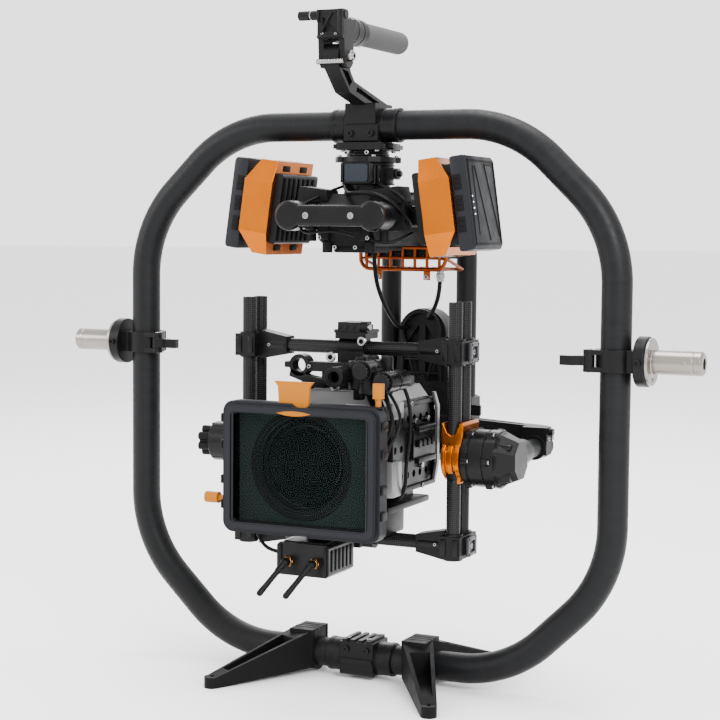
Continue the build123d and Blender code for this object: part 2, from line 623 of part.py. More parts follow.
with BuildPart() as corner_blocks:
    for side in (-1, 1):
        for z in BAR_ZS:
            box_between((side * 122 - 12, -54, z - 12), (side * 122 + 12, -7, z + 12))
            gusset = [(side * 111, z - 16), (side * 111, z + 16), (side * 78, z + 9.5), (side * 78, z - 9.5)]
            slab(gusset, Plane.XZ.offset(-BAR_Y), 19)
            box_between((side * 134, -40, z - 8), (side * 137, -18, z + 8))
    for side in (-1, 1):
        for y in UPRIGHT_YS:
            rod_between((side * UPRIGHT_X, y, 140), (side * UPRIGHT_X, y, 400), CAGE_TUBE_R, Mode.SUBTRACT)
    for z in BAR_ZS:
        rod_between((-BAR_HALF, BAR_Y, z), (BAR_HALF, BAR_Y, z), CAGE_TUBE_R, Mode.SUBTRACT)
save(corner_blocks, "corner_blocks")

# ---------------------------------------------------------------- camera and lens

with BuildPart() as camera_body:
    body_outline = [(-52, 212), (52, 212), (52, 306), (38, 324), (-38, 324), (-52, 306)]
    slab(body_outline, Plane.XZ.offset(7.5), 135)
    for rib in range(9):
        rib_y = -66 + 13 * rib
        box_between((-53, rib_y, 226), (-51, rib_y + 5, 296), Mode.SUBTRACT)
    rod_between((0, -77, LENS_Z), (0, -75, LENS_Z), 38)
save(camera_body, "camera_body")

with BuildPart() as camera_side_plate:
    plate_outline = [(-70, 214), (54, 214), (58, 226), (58, 288), (44, 312), (-58, 312), (-70, 298)]
    slab(plate_outline, Plane.YZ.offset(56), 8)
    for row in range(3):
        for column in range(7):
            hole_y = -56 + 17 * column
            hole_z = 232 + 30 * row
            rod_between((56, hole_y, hole_z), (61, hole_y, hole_z), 4, Mode.SUBTRACT)
    box_between((60, -20, 250), (66, 40, 280))
save(camera_side_plate, "camera_side_plate")

with BuildPart() as camera_plates:
    box_between((-36, -76, 200), (36, 50, 212))
    box_between((-36, -104, 200), (36, -76, 206))
    box_between((-26, -56, 178), (26, -6, 200))
    box_between((-20, -56, 155), (20, -44, 178))
    box_between((-20, -104, 171), (4, -96, 200))
    rod_between((-27, BAR_Y, BAR_ZS[0]), (27, BAR_Y, BAR_ZS[0]), 11.5)
    box_between((-27, -42, BAR_ZS[0]), (27, -19, 180))
    box_between((-40, -60, 324), (40, 40, 334))
    box_between((-22, -52, 334), (22, -8, 352))
    rod_between((-15, BAR_Y, BAR_ZS[1]), (15, BAR_Y, BAR_ZS[1]), 12)
    box_between((-15, -42, 350), (15, -19, BAR_ZS[1]))
    box_between((-16, -46, 378), (20, -14, 386))
    box_between((-12, -48, 386), (14, -18, 396))
    for z in BAR_ZS:
        rod_between((-30, BAR_Y, z), (30, BAR_Y, z), CAGE_TUBE_R, Mode.SUBTRACT)
save(camera_plates, "camera_plates")

with BuildPart() as lens:
    rod_between((0, -146, LENS_Z), (0, -77, LENS_Z), LENS_R)
    for ring_y in (-120, -100, -88):
        rod_between((0, ring_y - 4, LENS_Z), (0, ring_y + 4, LENS_Z), LENS_R + 2.5)
    with Locations((0, -165, LENS_Z)):
        Sphere(38, mode=Mode.SUBTRACT)
save(lens, "lens")


def rounded_panel(width, height, corner, front, back, mode=Mode.ADD, center=(BOX_X, BOX_Z)):
    """A rounded rectangle facing -Y, between two depths, in the part being built."""
    with BuildSketch(Plane.XZ.offset(-back)) as outline:
        with Locations(center):
            RectangleRounded(width, height, corner)
    extrude(outline.sketch, amount=back - front, mode=mode)


with BuildPart() as matte_box:
    rounded_panel(BOX_WIDTH, BOX_HEIGHT, 12, BOX_FRONT + 3, BOX_BACK)
    rounded_panel(BOX_WIDTH - 12, BOX_HEIGHT - 12, 8, BOX_FRONT, BOX_FRONT + 3)
    rounded_panel(150, 113, 3, BOX_FRONT - 1, FILTER_FRONT, Mode.SUBTRACT)
    box_between((BOX_X - FILTER_WIDTH / 2 - 0.3, FILTER_FRONT - 0.3, BOX_Z - 60.5),
                (BOX_X + FILTER_WIDTH / 2 + 0.3, FILTER_BACK + 0.3, BOX_Z + BOX_HEIGHT), Mode.SUBTRACT)
    rounded_panel(150, 113, 3, FILTER_BACK, BOX_BACK + 1, Mode.SUBTRACT)
    with BuildSketch(Plane.XZ.offset(-BOX_BACK)) as back_plate:
        with Locations((BOX_X, BOX_Z)):
            RectangleRounded(BOX_WIDTH - 8, BOX_HEIGHT - 8, 10)
        with Locations((0, LENS_Z)):
            Circle(52)
            Circle(LENS_R, mode=Mode.SUBTRACT)
    extrude(back_plate.sketch, amount=-4)
    rod_between((0, -148, LENS_Z), (0, -128, LENS_Z), 52)
    rod_between((0, -149, LENS_Z), (0, -127, LENS_Z), LENS_R, Mode.SUBTRACT)
    for end in (-1, 1):
        with Locations((BOX_X, BOX_FRONT - 2, BOX_Z + end * (BOX_HEIGHT / 2 + 10))):
            Sphere(16, mode=Mode.SUBTRACT)
save(matte_box, "matte_box")

with BuildPart() as filter_tray:
    rounded_panel(FILTER_WIDTH, 119, 2, FILTER_FRONT, FILTER_BACK)
    rounded_panel(150, 111, 2, FILTER_FRONT - 1, FILTER_BACK + 1, Mode.SUBTRACT)
    tab_outline = [(-20, 308), (12, 308), (14, 336), (18, 341), (-26, 341), (-22, 336)]
    slab(tab_outline, Plane.XZ.offset(-(FILTER_FRONT + FILTER_BACK) / 2), FILTER_BACK - FILTER_FRONT)
save(filter_tray, "filter_tray")

with BuildPart() as filter_glass:
    rounded_panel(150, 111, 2, FILTER_FRONT, FILTER_BACK)
save(filter_glass, "filter_glass")


def thumb_screw(base, direction, label):
    """A knurled thumb screw standing 0.3 mm off the filter box, on its own shank."""
    axis = Vector(*direction)
    start = Vector(*base) + axis * 0.3
    with BuildPart() as screw:
        rod_between(tuple(start), tuple(start + axis * 9), 3)
        with BuildSketch(Plane(origin=start + axis * 8, z_dir=axis)) as knurl:
            RegularPolygon(6, 12)
        extrude(knurl.sketch, amount=15)
    save(screw, label)


thumb_screw((BOX_X - BOX_WIDTH / 2, -162, 216), (-1, 0, 0), "side_thumb_screw")
thumb_screw((86, -157, BOX_Z + BOX_HEIGHT / 2), (0, 0, 1), "top_thumb_screw")

with BuildPart() as rod_clamp:
    for rod_x, rod_z in ((-34, 352), (24, 344)):
        rod_between((rod_x, -96, rod_z), (rod_x, -82, rod_z), 11.5)
    box_between((-24, -95, 346), (26, -83, 356))
    box_between((-8, -94, 334), (8, -60, 347))
    box_between((-8, -62, 334), (8, -52, 350))
    box_between((-52, -94, 349), (-43, -84, 355))
    for rod_x, rod_z in ((-34, 352), (24, 344)):
        rod_between((rod_x, -97, rod_z), (rod_x, -81, rod_z), CAGE_TUBE_R, Mode.SUBTRACT)
save(rod_clamp, "rod_clamp")

with BuildPart() as lens_motors:
    rod_between((24, -128, 344), (24, -54, 344), CAGE_TUBE_R)
    rod_between((24, -128, 344), (24, -90, 344), 5.5, Mode.SUBTRACT)
    for motor_x, motor_z in ((50, 350), (74, 340)):
        rod_between((motor_x, -120, motor_z), (motor_x, -72, motor_z), 11)
        rod_between((motor_x, -124, motor_z), (motor_x, -120, motor_z), 7)
    box_between((31, -112, 338), (42, -100, 354))
    box_between((58, -112, 338), (68, -100, 350))
    chamfer(lens_motors.edges().filter_by(GeomType.CIRCLE).sort_by(Axis.Y)[-2:], 1)
save(lens_motors, "lens_motors")

with BuildPart() as transmitter:
    box_between((-36, -140, 137), (24, -80, 171))
    chamfer(transmitter.edges().filter_by(Axis.Y), 3)
    for slot in range(5):
        slot_y = -130 + 9 * slot
        box_between((22.5, slot_y, 145), (25, slot_y + 4, 163), Mode.SUBTRACT)
    rod_between((-44, -110, 154), (-36, -110, 154), 4)
    for connector_x in (-21, 9):
        rod_between((connector_x, -146, 152), (connector_x, -140, 152), 5)
save(transmitter, "transmitter")


def antenna(pivot_x, label):
    """A whip aerial that swivels on its connector."""
    with BuildPart() as whip:
        rod_between((pivot_x, -151, 152), (pivot_x, -146.3, 152), 4.5)
        with Locations((pivot_x, -151, 152)):
            Sphere(4.5)
        rod_between((pivot_x, -151, 152), (pivot_x - 14, -179, 124), 3.6)
        with Locations((pivot_x - 14, -179, 124)):
            Sphere(3.6)
    save(whip, label)


antenna(-21, "antenna_left")
antenna(9, "antenna_right")

# ---------------------------------------------------------------- fasteners

with BuildPart() as ring_screws:
    for x in (-12, 12):
        cap_screw((x, -BLOCK_HALF, 598), (0, -1, 0), 3.5, 2.5)
        cap_screw((x, -BLOCK_HALF, 34), (0, -1, 0), 3.5, 2.5)
    for side in (-1, 1):
        cap_screw((side * (DISC_START + 6), -26, SIDE_Z), (0, -1, 0), 3.5, 3)
save(ring_screws, "ring_screws")

with BuildPart() as link_screws:
    for side in (-1, 1):
        cap_screw((side * 26, PAN_FRONT_Y - 18, PAN_TUBE_Z), (0, -1, 0), 3.5, 1.5)
save(link_screws, "link_screws")

# ---------------------------------------------------------------- cables

with BuildPart() as roll_cables:
    add(cable([(-24, 70, 477), (-24, 70, 446), (-23, 92, 412), (-20, 124, 384), (-18, 138, 380),
               (-18, 156, 380)], 5, "left roll cable").part)
    add(cable([(36, 122, 449), (36, 122, 425), (26, 128, 402), (12, 139, 392), (12, 156, 392)], 5,
              "right roll cable").part)
save(roll_cables, "roll_cables")

with BuildPart() as payload_cables:
    add(cable([(-44, -110, 154), (-62, -110, 154), (-74, -112, 170), (-68, -126, 190), (-68, -148, 190)], 4,
              "transmitter cable").part)
    add(cable([(50, -72, 350), (50, -56, 350), (70, -46, 326), (76, -50, 288), (72, -54, 250), (70, -50, 220),
               (58, -46, 206), (36, -46, 206)], 4, "lens motor cable").part)
save(payload_cables, "payload_cables")
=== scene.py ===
import math

import bmesh
import bpy
from mathutils import Matrix, Vector


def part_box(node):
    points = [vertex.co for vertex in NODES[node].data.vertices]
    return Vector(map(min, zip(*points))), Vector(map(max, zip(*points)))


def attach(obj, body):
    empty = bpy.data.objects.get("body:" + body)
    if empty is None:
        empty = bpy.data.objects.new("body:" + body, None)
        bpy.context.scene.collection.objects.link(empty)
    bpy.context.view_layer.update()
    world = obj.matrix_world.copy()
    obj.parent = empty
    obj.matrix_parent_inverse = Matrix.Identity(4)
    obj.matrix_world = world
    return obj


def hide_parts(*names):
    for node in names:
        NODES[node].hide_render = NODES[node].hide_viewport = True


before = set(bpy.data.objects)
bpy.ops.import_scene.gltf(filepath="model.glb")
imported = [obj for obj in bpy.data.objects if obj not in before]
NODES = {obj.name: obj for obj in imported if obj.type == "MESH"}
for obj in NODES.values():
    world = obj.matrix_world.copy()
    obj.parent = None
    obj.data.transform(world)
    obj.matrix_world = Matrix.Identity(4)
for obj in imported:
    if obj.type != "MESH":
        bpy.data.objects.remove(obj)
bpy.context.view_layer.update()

MM = 0.001
X, Y, Z = Vector((1, 0, 0)), Vector((0, 1, 0)), Vector((0, 0, 1))
SIDES = ((-1, "left"), (1, "right"))


def mm(*values):
    """A point or a size given in millimetres, as metres."""
    return Vector(values) * MM


# ------------ camera

YAW = math.radians(25)
PITCH = math.radians(4.363)
ROLL = math.radians(0.496)
CAMERA_PLACE = (0.7953, -1.7222, 0.4970)
FOCAL_LENGTH, SENSOR_WIDTH = 86.83, 36
view_dir = Vector((-math.sin(YAW) * math.cos(PITCH), math.cos(YAW) * math.cos(PITCH), -math.sin(PITCH)))
level_right = Vector((math.cos(YAW), math.sin(YAW), 0))
level_up = level_right.cross(view_dir)
camera_right = level_right * math.cos(ROLL) + level_up * math.sin(ROLL)
camera_up = level_up * math.cos(ROLL) - level_right * math.sin(ROLL)
camera = bpy.data.objects.new("camera", bpy.data.cameras.new("camera"))
camera.data.sensor_width = SENSOR_WIDTH
camera.data.lens = FOCAL_LENGTH
camera.matrix_world = Matrix.Translation(CAMERA_PLACE) @ Matrix(
    (camera_right, camera_up, -view_dir)).transposed().to_4x4()
bpy.context.scene.collection.objects.link(camera)
bpy.context.scene.camera = camera

# ------------ materials


class Shader:
    """A Principled material with short calls for the nodes that feed it."""

    def __init__(self, name, color, metallic=0.0, roughness=0.5, **sockets):
        self.material = bpy.data.materials.new(name)
        self.material.use_nodes = True
        self.tree = self.material.node_tree
        self.surface = self.tree.nodes["Principled BSDF"]
        self.color = color
        self.surface.inputs["Base Color"].default_value = (*color, 1)
        self.surface.inputs["Metallic"].default_value = metallic
        self.surface.inputs["Roughness"].default_value = roughness
        for socket, value in sockets.items():
            self.surface.inputs[socket.replace("_", " ")].default_value = value
        self.normal = None

    def node(self, kind, inputs=(), **settings):
        made = self.tree.nodes.new(kind)
        for key, value in settings.items():
            setattr(made, key, value)
        for socket, value in dict(inputs).items():
            if isinstance(value, bpy.types.NodeSocket):
                self.tree.links.new(value, made.inputs[socket])
            else:
                made.inputs[socket].default_value = value
        return made

    def coordinates(self, kind="Object", scale=(1, 1, 1)):
        source = self.node("ShaderNodeTexCoord")
        mapped = self.node("ShaderNodeMapping", {"Vector": source.outputs[kind], "Scale": scale})
        return mapped.outputs["Vector"]

    def noise(self, scale, detail=3.0, vector=None):
        inputs = {"Vector": vector or self.coordinates(), "Scale": scale, "Detail": detail}
        return self.node("ShaderNodeTexNoise", inputs).outputs["Fac"]

    def calculate(self, operation, *values):
        return self.node("ShaderNodeMath", dict(enumerate(values)), operation=operation).outputs["Value"]

    def spread(self, value, low, high, start=0.3, end=0.7):
        """Maps a noise value onto a range."""
        node = self.node("ShaderNodeMapRange", {"Value": value, "From Min": start, "From Max": end,
                                                "To Min": low, "To Max": high})
        return node.outputs["Result"]

    def tint(self, value, dark, light):
        """Colours between a darker and a lighter shade of the base, by a value from 0 to 1."""
        ramp = self.node("ShaderNodeMix", {"Factor": value}, data_type="RGBA")
        ramp.inputs["A"].default_value = (*[c * dark for c in self.color], 1)
        ramp.inputs["B"].default_value = (*[min(c * light, 1) for c in self.color], 1)
        self.tree.links.new(ramp.outputs["Result"], self.surface.inputs["Base Color"])
        return ramp

    def rough(self, value, low, high, start=0.3, end=0.7):
        self.tree.links.new(self.spread(value, low, high, start, end), self.surface.inputs["Roughness"])

    def soft_edges(self, radius):
        """Rounds sharp machined edges in the light."""
        bevel = self.node("ShaderNodeBevel", {"Radius": radius}, samples=4)
        self.normal = bevel.outputs["Normal"]
        self.tree.links.new(self.normal, self.surface.inputs["Normal"])

    def bump(self, height, strength, distance):
        inputs = {"Height": height, "Strength": strength, "Distance": distance}
        if self.normal:
            inputs["Normal"] = self.normal
        made = self.node("ShaderNodeBump", inputs)
        self.normal = made.outputs["Normal"]
        self.tree.links.new(self.normal, self.surface.inputs["Normal"])


def blasted_metal(name, color, metallic, low, high, edge=0.0007, **sockets):
    """Bead-blasted and anodised: fine grain, patchy gloss and rounded edges."""
    shader = Shader(name, color, metallic, **sockets)
    shader.soft_edges(edge)
    shader.tint(shader.noise(18), 0.86, 1.16)
    shader.rough(shader.noise(45), low, high)
    shader.bump(shader.noise(2600, 2.0), 0.05, 0.0002)
    return shader.material


def moulded_plastic(name, color, low, high, grain=900, **sockets):
    shader = Shader(name, color, **sockets)
    shader.soft_edges(0.0009)
    shader.tint(shader.noise(14), 0.85, 1.18)
    shader.rough(shader.noise(60), low, high)
    shader.bump(shader.noise(grain, 2.0), 0.16, 0.0003)
    return shader.material


def wound_carbon():
    """Filament-wound tube: fine lines round it, crossed by faint slanted bands."""
    shader = Shader("wound_carbon", (0.0044, 0.0046, 0.0051), roughness=0.42, Specular_IOR_Level=0.12)
    uv = shader.coordinates("UV")
    lines = shader.node("ShaderNodeTexWave", {"Vector": uv, "Scale": 260.0, "Distortion": 1.2, "Detail": 2.0,
                                              "Detail Scale": 1.0}, bands_direction="Y").outputs["Fac"]
    bands = shader.noise(9, 4.0, shader.coordinates("UV", (1, 22, 1)))
    blend = shader.calculate("MULTIPLY", lines, bands)
    shader.tint(shader.spread(blend, 0, 1, 0.05, 0.6), 0.62, 1.65)
    shader.rough(bands, 0.36, 0.52)
    shader.bump(lines, 0.12, 0.0002)
    return shader.material


WEAVE_REPEAT = 0.0045  # metres


def woven_carbon():
    """Tows laid both ways round the tube under satin lacquer, showing as a diamond weave, with the over cells
    painted lighter as painted sheen in place of the tows' reflection.
    """
    shader = Shader("woven_carbon", (0.0046, 0.0046, 0.0050), roughness=0.3, Specular_IOR_Level=0.15)
    repeats = 1 / WEAVE_REPEAT
    uv = shader.node("ShaderNodeSeparateXYZ", {"Vector": shader.coordinates("UV", (repeats, repeats, 1))})
    halves = []
    for way in ("ADD", "SUBTRACT"):
        diagonal = shader.calculate("FRACT", shader.calculate(way, uv.outputs["X"], uv.outputs["Y"]))
        halves.append(shader.calculate("GREATER_THAN", diagonal, 0.5))
    over = shader.calculate("COMPARE", *halves, 0.1)
    gloss = shader.noise(300, 2.0, shader.coordinates("UV", (6, 1, 1)))
    # painted sheen: the over cells and their fine streaks are lighter in colour, standing in for the tows'
    # reflection
    shader.tint(shader.calculate("MULTIPLY", over, gloss), 0.4, 3.4)
    shader.rough(over, 0.26, 0.44, 0, 1)
    shader.bump(over, 0.12, 0.0002)
    return shader.material


def turned_steel(name, color, low, high):
    """Turned on a lathe: fine rings round the axis, which is X on every steel piece of the ring."""
    shader = Shader(name, color, 1.0)
    shader.soft_edges(0.0004)
    rings = shader.noise(60, 3.0, shader.coordinates("Object", (60, 1, 1)))
    shader.tint(shader.noise(30), 0.82, 1.12)
    shader.rough(rings, low, high)
    shader.bump(rings, 0.08, 0.0001)
    return shader.material


def soft_foam():
    shader = Shader("soft_foam", (0.026, 0.0255, 0.025), roughness=0.92,
                    Sheen_Weight=0.04, Sheen_Roughness=0.6)
    shader.tint(shader.noise(25, 4.0), 0.8, 1.25)
    shader.bump(shader.noise(1500, 3.0), 0.45, 0.0006)
    return shader.material


def dark_filter():
    """Dark green glass that the lens shows through."""
    shader = Shader("dark_filter", (0.0002, 0.0014, 0.0012), roughness=0.0,
                    Alpha=0.56, Specular_IOR_Level=0.06)
    shader.tint(shader.noise(6), 0.8, 1.3)
    return shader.material


def tray_finish(edge_z):
    """Pale orange above a height, black below it."""
    shader = Shader("tray_finish", PALE_ORANGE_COLOR, roughness=0.42, Specular_IOR_Level=0.1)
    height = shader.node("ShaderNodeSeparateXYZ", {"Vector": shader.coordinates()}).outputs["Z"]
    ramp = shader.tint(shader.calculate("GREATER_THAN", height, edge_z), 0.01, 1.0)
    ramp.inputs["A"].default_value = (0.004, 0.004, 0.0045, 1)
    shader.bump(shader.noise(1800, 2.0), 0.1, 0.0002)
    return shader.material


def coated_glass():
    shader = Shader("coated_glass", (0.001, 0.0015, 0.0025), roughness=0.0, Specular_IOR_Level=0.06)
    shader.tint(shader.noise(30), 0.5, 1.8)
    return shader.material


def glowing(name, color, strength):
    shader = Shader(name, color, roughness=0.4, Emission_Strength=strength, Emission_Color=(*color, 1))
    shader.tint(shader.noise(400), 0.95, 1.0)
    return shader.material


def rubber(name, color, low, high, **sockets):
    shader = Shader(name, color, **sockets)
    shader.tint(shader.noise(40), 0.8, 1.3)
    shader.rough(shader.noise(80), low, high)
    shader.bump(shader.noise(700, 2.0), 0.12, 0.0002)
    return shader.material


BLACK_COLOR = (0.0030, 0.0030, 0.0034)
PALE_ORANGE_COLOR = (0.29, 0.094, 0.003)
TRAY_EDGE_Z = 0.3105
DULL = {"Specular_IOR_Level": 0.08}
SOFT_SHINE = {"Specular_IOR_Level": 0.12}
BLACK = blasted_metal("black_anodised", BLACK_COLOR, 0.0, 0.28, 0.44, **SOFT_SHINE)
SATIN_BLACK = blasted_metal("satin_black", (0.0024, 0.0024, 0.0027), 0.0, 0.20, 0.34,
                            Specular_IOR_Level=0.14)
MATT_BLACK = moulded_plastic("matt_black", BLACK_COLOR, 0.46, 0.62, **DULL)
CASE_BLACK = moulded_plastic("case_black", (0.0070, 0.0075, 0.0094), 0.38, 0.54, 1300, **SOFT_SHINE)
GREY_METAL = blasted_metal("grey_metal", (0.035, 0.036, 0.04), 0.6, 0.32, 0.48)
ORANGE = blasted_metal("orange_anodised", (0.38, 0.092, 0.0003), 0.95, 0.24, 0.34, 0.0010)
PALE_ORANGE = blasted_metal("pale_orange", PALE_ORANGE_COLOR, 0.3, 0.34, 0.48, Specular_IOR_Level=0.15)
COPPER = blasted_metal("copper_orange", (0.19, 0.032, 0.001), 0.8, 0.28, 0.40, 0.0006)
SILVER_PAINT = blasted_metal("silver_paint", (0.17, 0.17, 0.175), 0.6, 0.30, 0.42, 0.0012)
STEEL = turned_steel("turned_steel", (0.23, 0.21, 0.19), 0.2, 0.34)
BRIGHT_STEEL = turned_steel("bright_steel", (0.26, 0.255, 0.25), 0.16, 0.28)
# painted shadow for the inside of screw sockets, where the steel recess is in shade
SOCKET_SHADOW = moulded_plastic("socket_shadow", (0.003, 0.003, 0.003), 0.5, 0.6, **DULL)
GOLD = turned_steel("gold_plate", (0.36, 0.17, 0.045), 0.16, 0.26)
WINDOW = moulded_plastic("grey_blue_window", (0.012, 0.0155, 0.021), 0.22, 0.32,
                         Specular_IOR_Level=0.16)
# painted light: the baffle is black metal, coloured pale green-grey to stand for the light seen round the
# lens through the filter glass
PAINTED_LIGHT_BAFFLE = moulded_plastic("baffle_painted_light", (0.085, 0.150, 0.135), 0.5, 0.6, **DULL)
WOUND = wound_carbon()
WOVEN = woven_carbon()
FOAM = soft_foam()
FILTER = dark_filter()
LENS_GLASS = coated_glass()
TRAY = tray_finish(TRAY_EDGE_Z)
CABLE = rubber("cable_rubber", (0.0028, 0.0028, 0.0030), 0.34, 0.5, **DULL)
WHITE_LED = glowing("white_led", (0.9, 0.95, 1.0), 1.6)

CAD_MATERIALS = {
    BLACK: ["ring_top_joiner", "ring_bottom_joiner", "side_clamp_left", "side_clamp_right", "handle_arm",
            "handle_bracket", "quick_release_plate", "pan_stator", "pan_motor_housing", "roll_motor_bracket",
            "roll_motor_housing", "roll_arm", "corner_blocks", "camera_plates", "rod_clamp",
            "battery_mounts"],
    SATIN_BLACK: ["front_link", "tilt_motor", "tilt_bearing", "side_lever_left", "side_lever_right",
                  "handle_knob", "camera_side_plate", "lens_motors", "transmitter", "ring_screws"],
    MATT_BLACK: ["foot_left", "foot_right", "control_unit", "tilt_lock_knob"],
    CASE_BLACK: ["matte_box"],
    ORANGE: ["battery_bay_left", "battery_bay_right"],
    PALE_ORANGE: ["side_thumb_screw", "top_thumb_screw"],
    TRAY: ["filter_tray"],
    SILVER_PAINT: ["camera_body"],
    BRIGHT_STEEL: ["link_screws", "handle_hinge_bolt"],
    WINDOW: ["pan_motor_panel"],
    FILTER: ["filter_glass"],
}
for material, names in CAD_MATERIALS.items():
    for name in names:
        NODES[name].data.materials.clear()
        NODES[name].data.materials.append(material)

# The slot each material stands for, unless a piece names another; add_piece works a piece's slot out from
# this but does not give it to the piece.
SLOT_OF = {
    BLACK: "black_metal", SATIN_BLACK: "black_metal", GREY_METAL: "black_metal", PAINTED_LIGHT_BAFFLE: "black_metal",
    MATT_BLACK: "black_plastic", CASE_BLACK: "black_plastic", BRIGHT_STEEL: "steel", STEEL: "steel",
    GOLD: "steel", ORANGE: "orange", PALE_ORANGE: "orange", COPPER: "orange", WOVEN: "carbon_tube",
    WOUND: "carbon_tube", SILVER_PAINT: "camera_silver", FOAM: "foam", CABLE: "cable_rubber",
}

# ------------ mesh tools


def add_piece(name, bm, body, material, replaced=(), slot=None, sharp=32):
    """Turns a bmesh in metres into a piece that rides on a body."""
    bmesh.ops.recalc_face_normals(bm, faces=bm.faces)
    mesh = bpy.data.meshes.new(name)
    bm.to_mesh(mesh)
    bm.free()
    for polygon in mesh.polygons:
        polygon.use_smooth = True
    mesh.set_sharp_from_angle(angle=math.radians(sharp))
    mesh.materials.append(material)
    mesh.materials.append(SOCKET_SHADOW)
    piece = bpy.data.objects.new(name, mesh)
    bpy.context.scene.collection.objects.link(piece)
    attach(piece, body)
    if replaced:
        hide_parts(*replaced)
    slot = slot or SLOT_OF.get(material)
    return piece


def basis(axis):
    """Two directions at right angles to an axis."""
    axis = Vector(axis).normalized()
    helper = Z if abs(axis.z) < 0.9 else X
    side = helper.cross(axis).normalized()
    return side, axis.cross(side)


def around(count, radius, across, up, first=0.0):
    """Offsets spread evenly round a circle, in metres, from an angle in degrees."""
    turns = [math.radians(first) + 2 * math.pi * k / count for k in range(count)]
    return [(across * math.cos(turn) + up * math.sin(turn)) * radius for turn in turns]


def revolve(bm, profile, origin, axis, segments=64):
    """A surface of revolution. The profile is (distance along the axis, radius) pairs, in metres."""
    side, up = basis(axis)
    axis = Vector(axis).normalized()
    uv = bm.loops.layers.uv.verify()
    rings = []
    for distance, radius in profile:
        center = origin + axis * distance
        offsets = around(segments, radius, side, up) if radius > 1e-6 else [Vector()]
        rings.append([bm.verts.new(center + offset) for offset in offsets])
    for (low, low_ring), (high, high_ring) in zip(zip(profile, rings), zip(profile[1:], rings[1:])):
        girth = 2 * math.pi * max(low[1], high[1])
        for k in range(segments):
            after = (k + 1) % segments
            corners = []
            if len(low_ring) > 1:
                corners += [(low_ring[k], k, low[0]), (low_ring[after], k + 1, low[0])]
            else:
                corners.append((low_ring[0], k + 0.5, low[0]))
            if len(high_ring) > 1:
                corners += [(high_ring[after], k + 1, high[0]), (high_ring[k], k, high[0])]
            else:
                corners.append((high_ring[0], k + 0.5, high[0]))
            if len(corners) < 3:
                continue
            face = bm.faces.new([corner[0] for corner in corners])
            for loop, (_, turn, distance) in zip(face.loops, corners):
                loop[uv].uv = (turn / segments * girth, distance)


def rod(bm, start, end, radius, bore=0.0, edge=0.0004, segments=48):
    """A round rod, or a hollow one, with softened end edges."""
    length = (end - start).length
    edge = min(edge, radius * 0.3, length * 0.3)
    profile = [(0, bore), (0, radius - edge), (edge, radius), (length - edge, radius),
               (length, radius - edge), (length, bore)]
    if bore:
        profile.append((0, bore))
    revolve(bm, profile, start, end - start, segments)


def bar(bm, start, axis, reach, radius, bore=0.0, **options):
    """A rod from a point in millimetres along X, Y or Z, up to where that coordinate is reach."""
    start = mm(*start)
    rod(bm, start, start + axis * (reach * MM - start.dot(axis)), radius, bore, **options)


def block(bm, low, high, edge=0.0006, turn=None):
    """A box between two corners with rounded edges, turned by a matrix if one is given."""
    made = bmesh.ops.create_cube(bm, size=1)
    size, middle = high - low, (high + low) / 2
    for vert in made["verts"]:
        vert.co = Vector(vert.co[i] * abs(size[i]) + middle[i] for i in range(3))
    edges = {e for vert in made["verts"] for e in vert.link_edges}
    edge = min(edge, min(abs(s) for s in size) * 0.4)
    bevelled = bmesh.ops.bevel(bm, geom=list(edges), offset=edge, segments=2, affect="EDGES", profile=0.6)
    if turn:
        touched = {v for face in bevelled["faces"] for v in face.verts}
        bmesh.ops.transform(bm, matrix=turn, verts=list(touched))


def blocks(bm, edge, *corners):
    """Blocks with the same edge, each from two corners in millimetres."""
    for low, high in corners:
        block(bm, mm(*low), mm(*high), edge)


def prism(bm, outline, origin, across, up, depth, edge=0.0006):
    """An outline of (across, up) pairs in metres, given depth along across x up, with rounded edges."""
    out = across.cross(up).normalized()
    first = [bm.verts.new(origin + across * u + up * v) for u, v in outline]
    last = [bm.verts.new(origin + across * u + up * v + out * depth) for u, v in outline]
    made = [bm.faces.new(first), bm.faces.new(last)]
    for k in range(len(outline)):
        after = (k + 1) % len(outline)
        made.append(bm.faces.new([first[k], first[after], last[after], last[k]]))
    edges = {e for face in made for e in face.edges}
    bmesh.ops.bevel(bm, geom=list(edges), offset=edge, segments=2, affect="EDGES", profile=0.6)


def socket_screw(bm, seat, direction, radius, height):
    """A cap screw head with its hexagon socket in the painted shadow material, standing on its seat."""
    floor = height * 0.4
    revolve(bm, [(0, radius), (height * 0.8, radius), (height, radius * 0.86), (height, radius * 0.52)],
            seat, direction, 24)
    first_socket_face = len(bm.faces)
    revolve(bm, [(height, radius * 0.52), (floor, radius * 0.5), (floor, 0)], seat, direction, 6)
    revolve(bm, [(height * 0.98, radius * 0.6), (height * 0.97, radius * 0.4)], seat, direction, 24)
    bm.faces.ensure_lookup_table()
    # the socket faces take the painted shadow material
    for face in bm.faces[first_socket_face:]:
        face.material_index = 1


def add_screws(name, body, *groups):
    """Bright cap screws as one piece, in groups of (seats, direction, radius, height)."""
    bm = bmesh.new()
    for seats, direction, radius, height in groups:
        for seat in seats:
            socket_screw(bm, seat, direction, radius, height)
    add_piece(name, bm, body, BRIGHT_STEEL)


def rounded_path(points, bend, step=0.004):
    """Points along straight runs joined by tangent arcs."""
    path = [points[0]]
    for before, here, after in zip(points, points[1:], points[2:]):
        into, out = (here - before).normalized(), (after - here).normalized()
        turn = into.angle(out)
        setback = bend * math.tan(turn / 2)
        start = here - into * setback
        toward = (out - into * into.dot(out)).normalized()
        center = start + toward * bend
        count = max(6, int(bend * turn / step))
        for k in range(count + 1):
            share = turn * k / count
            path.append(center - toward * bend * math.cos(share) + into * bend * math.sin(share))
    return path + [points[-1]]


